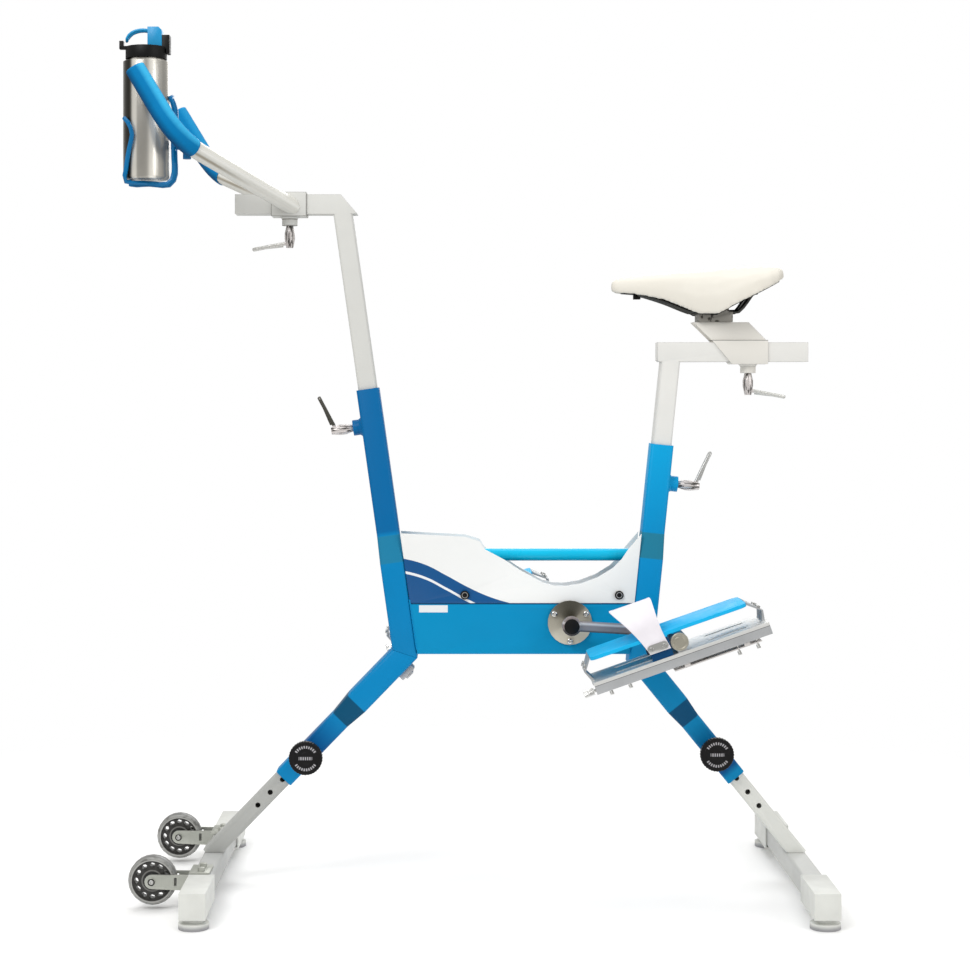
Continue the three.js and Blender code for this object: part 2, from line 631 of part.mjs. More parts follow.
// Crank set: flanged bearings in the beam, an axle, two crank arms and their caps
const crankGroup = frameAt(bike, 'crank_spin', crankAxis.x, 0, crankAxis.z);
const axleHalf = crank.inner + crank.bossThick;
const screwDegrees = [30, 150, 270];
for (const side of sides) {
  const hand = frameAt(bike, `bearing_${side.name}_frame`, crankAxis.x, 0, crankAxis.z);
  hand.scale.y = side.sign;
  const face = beamSide + gap;
  const flangeTop = face + bearing.flangeThick;
  const flange = crossBar(bearing.flange / 2, face, flangeTop, 26);
  const housing = crossBar(bearing.barrel / 2, face - bearing.barrelLength, face + gap, 20);
  const screws = screwDegrees.map((degrees) => crossBar(bearing.screw / 2, flangeTop - gap,
    flangeTop + bearing.screwHead, 8).translate(bearing.screwCircle, 0, 0).rotateY(-radians(degrees)));
  const bore = crossBar(axle.diameter / 2 + gap, 0, flangeTop + overrun, 20);
  piece(hand, `bearing_${side.name}`, cut(join(flange, housing, ...screws), bore), finishes.steel);
}
piece(crankGroup, 'crank_axle', crossBar(axle.diameter / 2, -axleHalf, axleHalf, 20), finishes.darkMetal);

for (const side of sides) {
  const hand = frameAt(crankGroup, `crank_${side.name}_frame`, 0, 0, 0,
    side.sign < 0 ? crank.turnDegrees : crank.turnDegrees + 180);
  hand.scale.y = side.sign;
  const near = crank.inner;
  const arm = sidePlate([[0, -crank.height / 2], [crank.length, -crank.height / 2],
    [crank.length, crank.height / 2], [0, crank.height / 2]], near, near + crank.thick);
  const root = crossBar(crank.boss / 2, near, near + crank.bossThick, 18);
  const eye = crossBar(crank.eye / 2, near, near + crank.thick, 18).translate(crank.length, 0, 0);
  const rootBore = crossBar(axle.diameter / 2 + gap, near - overrun, near + crank.bossThick + overrun, 20);
  const eyeBore = crossBar(spindle.diameter / 2 + gap, near - overrun, near + crank.thick + overrun, 16)
    .translate(crank.length, 0, 0);
  piece(hand, `crank_${side.name}`, cut(join(arm, root, eye), rootBore, eyeBore), finishes.steel);

  const capFace = axleHalf + gap;
  piece(hand, `crank_cap_${side.name}`, crossBar(crankCap.diameter / 2, capFace, capFace + crankCap.thick,
    20),
    finishes.blackPlastic);

  // The spindle screws into the crank's eye and carries the pedal's barrel
  const pedalInner = pedal.inner;
  const pedalOuter = pedalInner + pedal.width;
  const barrelEnd = pedalOuter - wall;
  const eyeFace = near + crank.thick + gap;
  const shaft = crossBar(spindle.diameter / 2, near, barrelEnd - gap, 16);
  const collar = crossBar(spindle.collar / 2, eyeFace, eyeFace + spindle.collarLength, 16);
  piece(hand, `pedal_spindle_${side.name}`, join(shaft, collar), finishes.steel).position.x = crank.length;

  // The pedal hangs level on its own, whatever the crank's angle
  const pedalFrame = frameAt(hand, `pedal_${side.name}_spin`, crank.length, 0, 0);
  const level = side.sign < 0 ? crank.turnDegrees : crank.turnDegrees + 180;
  pedalFrame.rotation.y = radians(pedal.tiltDegrees - level);
  const lower = chassis.top - chassis.thick;
  const plate = block(-pedal.front, pedal.rear, pedalInner, pedalOuter, lower, chassis.top);
  const skirts = [pedalInner, pedalOuter - chassis.thick].map((y) => block(-pedal.front, pedal.rear, y,
    y + chassis.thick, lower - chassis.flange, lower + gap));
  const slots = [-1, 1].flatMap((way) => [-1, 1].map((row) => roundedBar(chassis.slotLength,
    chassis.slotWidth,
    chassis.slotWidth / 2 - gap, lower - overrun, chassis.top + overrun).translate(way * chassis.slotPlace,
    pedalInner + pedal.width / 2 + row * pedal.width / 4, 0)));
  const tube = crossBar(barrel.diameter / 2, pedalInner, pedalOuter, 20);
  const tubeBore = crossBar(barrel.bore / 2, pedalInner - overrun, barrelEnd, 20);
  const saddleBlock = block(-barrel.diameter / 4, barrel.diameter / 4, pedalInner + chassis.thick,
    barrelEnd, lower + gap, -barrel.diameter / 4);
  const bend = (tip, reachX, low) => [[tip, platform.bottom + platform.thick], [reachX, 0], [low, lower],
    [low - Math.sign(tip) * bracket.thick * 2, lower], [reachX - Math.sign(tip) * bracket.thick, 0],
    [tip, platform.bottom]];
  const tips = [
    bend(-pedal.platformFront - gap, -pedal.platformFront - bracket.reach, -pedal.front),
    bend(pedal.platformRear + gap, pedal.rear + gap, pedal.rear - bracket.thick),
  ];
  const middle = pedalInner + pedal.width / 2;
  const brackets = tips.map((outline) => sidePlate(outline, middle - bracket.width / 2,
    middle + bracket.width / 2));
  const body = cut(join(plate, ...skirts, ...brackets, saddleBlock, tube), tubeBore, ...slots);
  piece(pedalFrame, `pedal_body_${side.name}`, body, finishes.aluminium);

  // The blue tread, with the anchors that hold the strap's feet
  const treadLength = pedal.platformFront + pedal.platformRear;
  const treadTop = platform.bottom + platform.thick;
  const tread = roundedBar(treadLength, pedal.width, platform.corner, platform.bottom, treadTop, 3)
    .translate((pedal.platformRear - pedal.platformFront) / 2, middle, 0);
  const anchors = [pedalInner, pedalOuter - anchor.depth].map((y) => block(-anchor.front, -anchor.rear, y,
    y + anchor.depth, chassis.top + gap, platform.bottom + gap));
  const rib = block(-barrel.diameter / 4, barrel.diameter / 4, pedalInner + overrun, pedalOuter - overrun,
    barrel.diameter / 2 + gap, platform.bottom + gap);
  piece(pedalFrame, `pedal_tread_${side.name}`, join(tread, ...anchors, rib), finishes.lightBlue);

  // The strap runs up beside the tread and over the foot
  const strapCentre = (anchor.front + anchor.rear) / 2;
  const strapHalf = pedal.width / 2 + gap + strap.thick / 2;
  const strapPlace = (share) => {
    const turn = Math.PI * share;
    const lift = Math.max(Math.sin(turn), 0);
    return new THREE.Vector2(-Math.cos(turn) * (strapHalf + strap.bulge * lift),
      strap.shoulder + (strap.rise - strap.shoulder) * lift);
  };
  const strapSteps = 16;
  const path = [new THREE.Vector2(-strapHalf, strap.foot)];
  for (let step = 0; step <= strapSteps; step += 1) path.push(strapPlace(step / strapSteps));
  path.push(new THREE.Vector2(strapHalf, strap.foot));
  const rings = path.map((point, place) => {
    const ahead = path[Math.min(place + 1, path.length - 1)];
    const behind = path[Math.max(place - 1, 0)];
    const normal = new THREE.Vector2(behind.y - ahead.y, ahead.x - behind.x).normalize()
      .multiplyScalar(strap.thick / 2);
    const lift = (point.y - strap.foot) / (strap.rise - strap.foot);
    const centre = -strapCentre - strap.crownForward * lift;
    const halfWide = (strap.footWidth + (strap.crownWidth - strap.footWidth) * lift ** 2) / 2;
    const corner = (way, out) => new THREE.Vector3(centre + way * halfWide,
      middle + point.x + out * normal.x,
      point.y + out * normal.y);
    return [corner(-1, 1), corner(1, 1), corner(1, -1), corner(-1, -1)];
  });
  piece(pedalFrame, `pedal_strap_${side.name}`, geometryOf(solidOf(loft(rings))), finishes.strapWhite);
}

// Where along its length the hub is widest
const hubShares = [0.34, 0.6];

// Clamp levers: a hub on a stud, with an arm that slants away from the clamped face
function clampLever(parent, name, x, z, leanDegrees, tiltDegrees, way, look) {
  const frame = frameAt(parent, name, x, 0, z, leanDegrees);
  const hub = turned([[0, -boss.length], [lever.stud / 2, -boss.length], [lever.stud / 2, gap],
    [lever.hub / 3, gap], ...hubShares.map((share) => [lever.hub / 2, share * lever.hubLength]),
    [lever.hub / 3, lever.hubLength], [0, lever.hubLength]], 16);
  const ring = (wide, at) => sectionRing(lever.armThick, wide, lever.armThick / 3, at);
  const arm = loft([ring(lever.armRoot, 0), ring(lever.armTip, lever.arm - lever.armTip / 2),
    ring(lever.armRoot, lever.arm)]).rotateY(Math.PI / 2).rotateY(-radians(tiltDegrees))
    .translate(0, 0, lever.armHeight);
  const whole = join(hub, arm);
  return piece(frame, name.replace('_turn', ''), way < 0 ? whole.rotateZ(Math.PI) : whole, look);
}

// A point given along and off a leaning tube's axis
function onTube(joint, post, along, off) {
  return [joint.x + along * sine(post.leanDegrees) + off * cosine(post.leanDegrees),
    joint.z + along * cosine(post.leanDegrees) - off * sine(post.leanDegrees)];
}

const bossOut = postSlim.along / 2 - boss.bite + boss.length;
for (const end of ends) {
  const [x, z] = onTube(end.joint, end.post, clampPlace(end.post), end.bossSign * bossOut);
  clampLever(bike, `${end.name}_post_lever_turn`, x, z, end.post.leanDegrees + 90 * end.bossSign,
    postLeverTiltDegrees, -end.bossSign, finishes.darkMetal);
}

// Handlebar post with its stem
const innerAcross = postSlim.across - 2 * (wall + slideGap);
const stemTop = stem.bottom + stem.height;
const postFrameOf = (end, name) => frameAt(bike, name, end.joint.x, 0, end.joint.z, end.post.leanDegrees);
const handlebarLift = postFrameOf(ends[0], 'handlebar_height');
function hollowBeam(outline, x0, x1, bottom, height) {
  const half = innerAcross / 2;
  return cut(sidePlate(outline, -half, half), block(x0, x1, wall - half, half - wall, bottom + wall,
    bottom + height - wall));
}
const stemBeam = hollowBeam([[stem.front, stem.bottom], [stem.rear, stem.bottom],
  [stem.rear - stem.cutBack, stemTop],
  [stem.front, stemTop]], stem.front - overrun, stem.rear - stem.cutBack - wall, stem.bottom, stem.height);
const stemInPost = seenFrom(stemBeam, frontJoint.x, frontJoint.z, frontPost.leanDegrees);
const liftTop = (stem.bottom + wall - frontJoint.z) / cosine(frontPost.leanDegrees);
piece(handlebarLift, 'handlebar_post',
  join(innerTube(postSlim, frontPost.length - handlebarPost.inserted, liftTop), stemInPost),
    finishes.whitePaint);

// Handlebar slider around the stem, with the two welded handlebar tubes and their grips
const sleeveHalfAcross = innerAcross / 2 + slideGap + slider.wall;
const sleeveBottom = stem.bottom - slideGap - slider.wall;
const sleeveTop = stemTop + slideGap + slider.wall;
const reachFrame = frameAt(bike, 'handlebar_reach', 0, 0, 0);
handlebarLift.attach(reachFrame);
function beamSpace(bottom, height) {
  return block(-farReach, farReach, -innerAcross / 2 - slideGap, innerAcross / 2 + slideGap,
    bottom - slideGap, bottom + height + slideGap);
}
const bossDown = (x, z) => (geometry) => geometry.rotateX(Math.PI).translate(x, 0, z + boss.bite);
function sleeveOn(outline, halfAcross, bottom, height, bossX, bossZ) {
  const place = bossDown(bossX, bossZ);
  const outer = join(sidePlate(outline, -halfAcross, halfAcross),
    place(clampBoss(boss.diameter / 2, boss.flare / 2, boss.length)));
  return cut(outer, beamSpace(bottom, height), place(bossBore(2 * wall)));
}
const sliderHalf = slider.length / 2;
const sliderOutline = [[slider.place - sliderHalf, sleeveBottom], [slider.place + sliderHalf, sleeveBottom],
  [slider.place + sliderHalf, sleeveTop], [slider.place - sliderHalf, sleeveTop]];
piece(reachFrame, 'handlebar_slider',
  sleeveOn(sliderOutline, sleeveHalfAcross, stem.bottom, stem.height, slider.place, sleeveBottom),
    finishes.whitePaint);
clampLever(reachFrame, 'handlebar_lever_turn', slider.place, sleeveBottom + boss.bite - boss.length, 180,
  sliderLeverTiltDegrees, 1, finishes.chrome);

// The tube leaves the slider's side, bends up and ends in the grip
function handlebarCurve() {
  const start = new THREE.Vector3(slider.place + handlebar.baseBack, 0, stem.bottom + handlebar.baseRise);
  const bend = new THREE.Vector3(handlebar.bendX, handlebar.halfWidth, handlebar.bendZ);
  const end = new THREE.Vector3(handlebar.endX, handlebar.halfWidth, handlebar.endZ);
  start.y = sleeveHalfAcross;
  start.lerp(bend, -handlebar.diameter / start.distanceTo(bend));
  const bendIn = bend.clone().add(start.clone().sub(bend).setLength(handlebar.bendStart));
  const bendOut = bend.clone().add(end.clone().sub(bend).setLength(handlebar.bendStart));
  const path = new THREE.CurvePath();
  path.add(new THREE.LineCurve3(start, bendIn));
  path.add(new THREE.QuadraticBezierCurve3(bendIn, bend, bendOut));
  path.add(new THREE.LineCurve3(bendOut, end));
  return path;
}
const handlebarPath = handlebarCurve();
const tubeSides = 12;
const bendSteps = 6;
const barLengths = handlebarPath.getCurveLengths();
const barLengthAll = handlebarPath.getLength();
const bendShares = [barLengths[0] / barLengthAll, barLengths[1] / barLengthAll];
const bendStops = [];
for (let step = 0; step <= bendSteps; step += 1) {
  bendStops.push(bendShares[0] + (bendShares[1] - bendShares[0]) * step / bendSteps);
}
function handlebarTube(radius, from, to, bore) {
  const stops = [from, ...bendStops.filter((stop) => stop > from && stop < to), to];
  return roundTube(new Stretch(handlebarPath, stops), radius, stops.length - 1, tubeSides, bore);
}
for (const side of sides) {
  const hand = new THREE.Group();
  hand.scale.y = side.sign;
  reachFrame.add(hand);
  const sliderSpace = block(-farReach, farReach, -farReach, sleeveHalfAcross + gap, 0, 2 * farReach);
  const tube = handlebarTube(handlebar.diameter / 2, 0, 1 - grip.end / barLengthAll,
    handlebar.diameter / 2 - handlebar.wall);
  piece(hand, `handlebar_${side.name}`, cut(tube, sliderSpace), finishes.whitePaint);
  const gripInner = handlebar.diameter / 2 + grip.inside;
  const gripFrom = 1 - handlebar.gripLength / barLengthAll;
  const sleeve = handlebarTube(gripInner + grip.thick, gripFrom, 1, gripInner);
  const plug = handlebarTube(gripInner + grip.thick / 2, 1 - (grip.end - gap) / barLengthAll, 1, 0);
  piece(hand, `grip_${side.name}`, join(sleeve, plug), finishes.gripRubber);
}

// Seat post with its beam
const seatLift = postFrameOf(ends[1], 'seat_height');
const seatTop = seatBeam.bottom + seatBeam.height;
const seatBeamOutline = [[seatBeam.front + wall, seatBeam.bottom], [seatBeam.rear, seatBeam.bottom],
  [seatBeam.rear, seatTop], [seatBeam.front, seatTop], [seatBeam.front, seatBeam.bottom + wall]];
const seatBeamInPost = seenFrom(hollowBeam(seatBeamOutline, seatBeam.front + wall, seatBeam.rear + overrun,
  seatBeam.bottom, seatBeam.height), rearJoint.x, rearJoint.z, rearPost.leanDegrees);
const seatLiftTop = (seatBeam.bottom + wall - rearJoint.z) / cosine(rearPost.leanDegrees);
piece(seatLift, 'seat_post',
  join(innerTube(postSlim, rearPost.length - seatPost.inserted, seatLiftTop), seatBeamInPost),
    finishes.whitePaint);

// Seat slider: a sleeve on the beam under a slanted block
const seatReach = frameAt(bike, 'seat_reach', 0, 0, 0);
seatLift.attach(seatReach);
const seatSleeveBottom = seatBeam.bottom - slideGap - slider.wall;
const seatSleeveTop = seatTop + slideGap + slider.wall;
const seatSleeveOutline = [[seatSlider.lowerFront, seatSleeveBottom], [seatSlider.rear, seatSleeveBottom],
  [seatSlider.rear, seatSleeveTop], [seatSlider.front, seatSleeveTop]];
const slantOutline = [[seatSlider.front, seatSleeveTop - gap], [seatSlider.rear - wall, seatSleeveTop - gap],
  [seatSlider.blockRear, seatSlider.blockTop], [seatSlider.blockFront, seatSlider.blockTop]];
const seatBossX = (seatSlider.lowerFront + seatSlider.rear) / 2;
const seatSleeve = sleeveOn(seatSleeveOutline, sleeveHalfAcross, seatBeam.bottom, seatBeam.height, seatBossX,
  seatSleeveBottom);
piece(seatReach, 'seat_slider', join(seatSleeve, sidePlate(slantOutline, -seatBlock.halfWidth,
  seatBlock.halfWidth)),
  finishes.whitePaint);
clampLever(seatReach, 'seat_lever_turn', seatBossX, seatSleeveBottom + boss.bite - boss.length, 180,
  sliderLeverTiltDegrees, -1, finishes.chrome);

// Saddle: clamp, one bent rail, a shell and a padded top
const clampBottom = seatSlider.blockTop + gap;
const clampMiddle = clampBottom + saddleClamp.height;
const railHeight = clampMiddle + rail.diameter / 2;
const seatFrame = frameAt(bike, 'saddle_frame', saddleClamp.x, 0, 0);
seatReach.attach(seatFrame);
function railPath() {
  const right = [
    [rail.tailX, rail.tailSpread, rail.tailHeight],
    [rail.tailX - rail.tailBend, rail.halfSpread * railShares.tailBend, rail.diameter],
    [saddleClamp.x + rail.straight, rail.halfSpread, 0],
    [saddleClamp.x + rail.straight * railShares.straight, rail.halfSpread, 0],
    [saddleClamp.x, rail.halfSpread, 0],
    [saddleClamp.x - rail.straight * railShares.straight, rail.halfSpread, 0],
    [saddleClamp.x - rail.straight, rail.halfSpread, 0],
    [(rail.noseX + saddleClamp.x - rail.straight) / 2, rail.halfSpread * railShares.noseSpread,
      rail.noseHeight * railShares.noseRise],
    [rail.noseX + rail.noseBend, rail.halfSpread / 2, rail.noseHeight],
  ];
  const left = right.map(([x, y, z]) => [x, -y, z]).reverse();
  return new THREE.CatmullRomCurve3([...right, [rail.noseX, 0, rail.noseHeight], ...left]
    .map(([x, y, z]) => new THREE.Vector3(x - saddleClamp.x, y, z + railHeight)));
}
const railCurve = railPath();
const railSteps = 40;
const railSides = 6;
piece(seatFrame, 'saddle_rails', geometryOf(solidOf(roundTube(railCurve, rail.diameter / 2, railSteps,
  railSides))),
  finishes.darkMetal);
const railSpace = roundTube(railCurve, rail.diameter / 2 + gap, railSteps, railSides);
const clampHalf = saddleClamp.halfWidth;
const lowerJaw = block(-saddleClamp.length / 2, saddleClamp.length / 2, -clampHalf, clampHalf, clampBottom,
  railHeight);
const upperJaw = block(-saddleClamp.jawLength / 2, saddleClamp.jawLength / 2, -clampHalf, clampHalf,
  railHeight - gap, clampMiddle + saddleClamp.jawHeight);
piece(seatFrame, 'saddle_clamp', cut(join(lowerJaw, upperJaw), railSpace), finishes.darkMetal);

// One skin of the saddle: a domed section at each station, let in from the outside by a margin
const saddleLength = saddle.rear - saddle.nose;
function saddleSkin(margin, heightShare, lowered, sink, from, to) {
  const rings = saddleShares.filter(([along]) => along >= from && along <= to).map(([along, wide, high,
    low]) => {
    const half = wide * saddle.halfWidth - margin;
    const edge = saddle.top - low * saddle.drop;
    const height = (saddle.top - high * saddle.drop - edge) * heightShare - lowered;
    const x = saddle.nose + along * saddleLength - saddleClamp.x;
    const ring = [new THREE.Vector3(x, half, edge - sink)];
    const steps = 10;
    for (let step = 0; step <= steps; step += 1) {
      const turn = Math.PI * step / steps;
      const across = Math.cos(turn);
      ring.push(new THREE.Vector3(x, half * Math.sign(across) * Math.abs(across) ** fullnessShare,
        edge + height * Math.max(Math.sin(turn), 0) ** fullnessShare));
    }
    ring.push(new THREE.Vector3(x, -half, edge - sink));
    return ring;
  });
  return geometryOf(solidOf(loft(rings)));
}
const padOuter = saddleSkin(0, 1, 0, slideGap, 0, 1);
const padHollow = saddleSkin(saddle.rim, hollowShare, 0, overrun, 0.02, 0.99);
piece(seatFrame, 'saddle_pad', cut(padOuter, padHollow), finishes.saddleCream);
const shellOuter = saddleSkin(saddle.rim + gap, hollowShare, gap, 0, 0.06, 0.96);
const shellHollow = saddleSkin(saddle.rim + gap + saddle.skin, hollowShare, gap + saddle.skin, overrun,
  0.15, 0.9);
const sockets = [-1, 1].map((way) => block(rail.tailX - saddleClamp.x - rail.diameter,
  rail.tailX - saddleClamp.x + rail.diameter / 2, way * rail.tailSpread - rail.diameter,
  way * rail.tailSpread + rail.diameter, railHeight + rail.tailHeight - rail.diameter, saddle.top));
const noseSocket = block(rail.noseX - saddleClamp.x - rail.diameter / 2,
  rail.noseX - saddleClamp.x + rail.diameter,
  -rail.diameter, rail.diameter, railHeight + rail.noseHeight - rail.diameter, saddle.top);
const shellSockets = common(join(noseSocket, ...sockets),
  saddleSkin(saddle.rim + gap, hollowShare, gap, saddle.drop, 0.06, 0.96));
piece(seatFrame, 'saddle_shell', cut(join(cut(shellOuter, shellHollow), shellSockets), railSpace),
  finishes.blackPlastic);

// Drinking bottle, its lid and its spout
const bottleLift = frameAt(bike, 'bottle_lift', bottle.x, bottle.y, bottle.bottom);
reachFrame.attach(bottleLift);
const bottleRadius = bottle.diameter / 2;
const neckRadius = bottle.neck / 2;
const shoulder = bottle.height;
const lidBottom = shoulder + lid.rise;
const lidTop = lidBottom + lid.height;
const lidInside = lidTop - lid.skirt;
const foot = bottle.wall * 2;
piece(bottleLift, 'bottle', turned([[0, 0], [bottleRadius - foot, 0], [bottleRadius, foot], [bottleRadius,
  shoulder],
  [neckRadius, lidBottom], [neckRadius, lidInside - gap], [neckRadius - bottle.wall, lidInside - gap],
  [neckRadius - bottle.wall, lidBottom - bottle.wall], [bottleRadius - bottle.wall, shoulder - bottle.wall],
  [bottleRadius - bottle.wall, foot], [bottleRadius - foot, bottle.wall], [0, bottle.wall]], 20),
    finishes.steel);

const lidGroup = frameAt(bottleLift, 'lid_turn', 0, 0, 0);
const lidRadius = lid.diameter / 2;
const lidSpace = gap * 2;          // so that the lid's flats clear the neck's as it turns
const mouth = neckRadius - bottle.wall - lidSpace;
const cap = turned([[0, lidBottom + lid.skirt], [mouth, lidBottom + lid.skirt], [mouth, lidInside],
  [neckRadius + lidSpace, lidInside], [neckRadius + lidSpace, lidBottom + gap],
  [lidRadius, lidBottom + gap],
  [lidRadius, lidTop - gap], [lidRadius - lid.skirt, lidTop], [0, lidTop]], 20);
const spoutX = spout.ahead;
const spoutZ = lidTop + spout.foot;
const spoutHalf = spout.depth / 2;
const hornRoot = lidRadius - lid.hornReach;
const hornEnd = lidRadius + lid.hornReach;
const horn = [[-hornRoot, lid.hornArm], [lid.hornTip - hornEnd, lid.hornHeight]].map(([x,
  up]) => block(-hornEnd, x,
  -lid.hornHalf, lid.hornHalf, lidTop - lid.skirt, lidTop + up));
const catchFront = spoutX + spout.width / 2 + gap;
const catchRear = lidRadius + lid.catchReach;
const catchTop = block(catchFront, catchRear, -spoutHalf, spoutHalf, lidTop - lid.skirt,
  lidTop + lid.lugHeight);
const catchSide = block(lidRadius - gap, catchRear, -spoutHalf, spoutHalf, lidTop - lid.catchDrop,
  lidTop);
piece(lidGroup, 'bottle_lid', join(cap, ...horn, catchTop, catchSide), finishes.blackPlastic);

const spoutFrame = frameAt(lidGroup, 'spout_frame', spoutX, 0, spoutZ);
const spoutTop = spout.rise;
const spoutLow = gap - spout.foot;
const spoutWide = spout.width / 2;
const spoutBlock = sidePlate([[-spoutWide, spoutLow], [spoutWide, spoutLow], [spoutWide,
  spoutTop - spout.slant],
  [spoutWide - spout.slant, spoutTop], [-spoutWide, spoutTop]], gap - spoutHalf, spoutHalf - gap);
const loopHalf = loopShares.map(([out, aside, up]) => [-spout.loopReach * out, spoutHalf * aside,
  spoutTop * up]);
const loopBack = loopHalf.slice(0, -1).reverse().map(([x, y, z]) => [x, -y, z]);
const loopCurve = new THREE.CatmullRomCurve3([...loopHalf,
  ...loopBack].map((point) => new THREE.Vector3(...point)));
const loop = roundTube(loopCurve, spout.loop / 2, 18, 8);
piece(spoutFrame, 'bottle_spout', join(spoutBlock, loop), finishes.bluePaint);

// The bottle cage: one bent rod held by a ring on the left handlebar tube. It is built on the
// right and mirrored, as the left handlebar tube is.
const hug = bottleRadius + cage.rod / 2 + gap * 2;
const low = (z) => z - bottle.bottom;
const around = (degrees, z, radius = hug) => [-radius * cosine(degrees), radius * sine(degrees), low(z)];
const railAt = (z) => [hug + cage.railOut, cage.railHalf, low(z)];
const halfRod = [
  ...['tip', 'hook', 'pinch', 'swell', 'waist', 'calf', 'knee'].map((place) => (
    around(cageTurn[`${place}Degrees`], cage[place]))),
  around(cageTurn.floorDegrees, cage.floor + cage.rod / 2),
  around(cageTurn.floorDegrees, cage.floor, hug - cage.rod),
  around(cageTurn.waistDegrees, cage.floor, hug / 2),
  around(2 * cageTurn.waistDegrees, cage.floor, hug / 3),
  [hug - cage.rod / 2, cage.railHalf, low(cage.floor)],
  railAt(cage.knee), railAt(cage.waist), railAt(cage.railTop),
  around(cageTurn.topDegrees, cage.railTop + cage.rod, hug + gap),
];
// Interpolated as way round, radius and height, so that the rod stays outside the round bottle
class WrappedRod extends THREE.Curve {
  constructor(points) {
    super();
    const half = points.map(([x, y, z]) => new THREE.Vector3(Math.atan2(y, -x) * hug, Math.hypot(x, y), z));
    const crown = new THREE.Vector3(Math.PI * hug, hug, low(cage.crown));
    const back = half.map((point) => point.clone().setX(2 * crown.x - point.x)).reverse();
    this.through = new THREE.CatmullRomCurve3([...half, crown, ...back]);
  }

  getPoint(share, target = new THREE.Vector3()) {
    const { x, y, z } = this.through.getPoint(share);
    return target.set(-y * Math.cos(x / hug), y * Math.sin(x / hug), z);
  }
}
const cageSteps = 60;
const cageRod = roundTube(new WrappedRod(halfRod), cage.rod / 2, cageSteps, railSides);
const cageHand = new THREE.Group();
cageHand.scale.y = -1;
reachFrame.add(cageHand);
const tubeSpace = handlebarTube(handlebar.diameter / 2 + gap, 0, 1, 0);
const linkEnd = handlebarPath.getPointAt(1 - (handlebar.gripLength + cage.linkStart) / barLengthAll);
const linkRoot = new THREE.Vector3(bottle.x + hug + cage.railOut, -bottle.y, cage.linkHeight);
const plate = block(-cage.rod / 2, cage.rod / 4, -cage.link - gap, cage.link + gap, -cage.linkHalf,
  cage.linkHalf)
  .translate(linkRoot.x, linkRoot.y, linkRoot.z);
const linkBar = roundTube(new THREE.LineCurve3(linkRoot, linkEnd), cage.linkRadius, 1, 10);
const knobAt = linkEnd.clone().add(linkRoot.clone().sub(linkEnd).setLength(cage.knobPlace));
const linkKnob = uprightBar(cage.knob / 2, -cage.knobDrop, 0, 12).translate(knobAt.x, knobAt.y, knobAt.z);
const cageAtBottle = cageRod.translate(bottle.x, -bottle.y, bottle.bottom);
piece(cageHand, 'bottle_cage', cut(join(cageAtBottle, plate, linkBar, linkKnob), tubeSpace),
  finishes.bluePaint);

// The bike stands on the floor with its origin under the middle of its box
bike.updateMatrixWorld(true);
const whole = new THREE.Box3().setFromObject(bike, true);
const centre = whole.getCenter(new THREE.Vector3());
bike.position.set(-centre.x, -centre.y, -whole.min.z);

export default bike;
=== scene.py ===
"""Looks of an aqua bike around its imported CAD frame.

Metres, +Z up; the rider faces -X and -Y is the rider's left. Tables and profiles are in mm,
and colours are written as they show on screen, from 0 to 255.
"""

import json
import math

import bmesh
import bpy
import numpy as np
from mathutils import Matrix, Vector


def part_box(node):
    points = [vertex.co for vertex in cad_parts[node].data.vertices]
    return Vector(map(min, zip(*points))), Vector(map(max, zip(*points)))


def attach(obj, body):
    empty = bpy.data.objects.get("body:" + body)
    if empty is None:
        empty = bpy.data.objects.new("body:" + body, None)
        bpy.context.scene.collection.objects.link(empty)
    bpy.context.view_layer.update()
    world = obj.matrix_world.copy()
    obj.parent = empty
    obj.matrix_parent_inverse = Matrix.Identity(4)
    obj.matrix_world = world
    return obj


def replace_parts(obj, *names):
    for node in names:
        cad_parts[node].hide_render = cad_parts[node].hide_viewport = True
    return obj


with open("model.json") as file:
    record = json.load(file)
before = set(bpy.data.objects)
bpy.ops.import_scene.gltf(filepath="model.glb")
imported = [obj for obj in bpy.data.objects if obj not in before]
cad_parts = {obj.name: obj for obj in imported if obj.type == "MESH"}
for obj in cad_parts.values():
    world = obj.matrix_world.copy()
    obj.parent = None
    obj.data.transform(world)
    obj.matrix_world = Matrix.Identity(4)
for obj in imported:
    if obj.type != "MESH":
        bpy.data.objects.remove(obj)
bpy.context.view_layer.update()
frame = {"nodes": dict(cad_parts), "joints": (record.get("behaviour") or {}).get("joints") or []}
nodes = frame["nodes"]
joints = {joint["name"]: joint for joint in frame["joints"]}
scene = bpy.context.scene

# ---- Sizes that several parts share ----
MM = 0.001
SIDES = {"left": -1, "right": 1}
CORNERS = ((-1, -1), (1, -1), (1, 1), (-1, 1))
SHARP = math.radians(28)           # edges sharper than this are rounded
SHADED_SHARP = math.radians(38)    # and those still sharper than this don't shade smoothly

# Where posts and legs meet the beam, as X and Z, and each tube's direction from there
FRONT_JOINT, REAR_JOINT = (-104.9, 359.5), (257.7, 349.7)
TUBES = {
    "front_post": (FRONT_JOINT, (-0.1402, 0.9901)),
    "rear_post": (REAR_JOINT, (0.1023, 0.9948)),
    "front_leg": (FRONT_JOINT, (-0.69566, -0.71837)),
    "rear_leg": (REAR_JOINT, (0.63013, -0.77649)),
}
# The right handlebar tube's axis at the slider, at its bend and at its open end
BAR_BASE, BAR_BEND, BAR_END = (-281.9, 23, 1049.5), (-426.9, 235, 1125.5), (-486.9, 235, 1225.5)
BAR_REACH = 48.6                   # how far before and after its bend the tube is curved
PEDAL_TILT = math.radians(-19.3)
PEDAL_RUN = (math.cos(PEDAL_TILT), -math.sin(PEDAL_TILT))
PEDAL_MIDDLE = 151                 # from the bike's middle plane


def mm(*values, start=0.0):
    """Values in mm as metres, on from a start in metres."""
    return [start + value * MM for value in values]


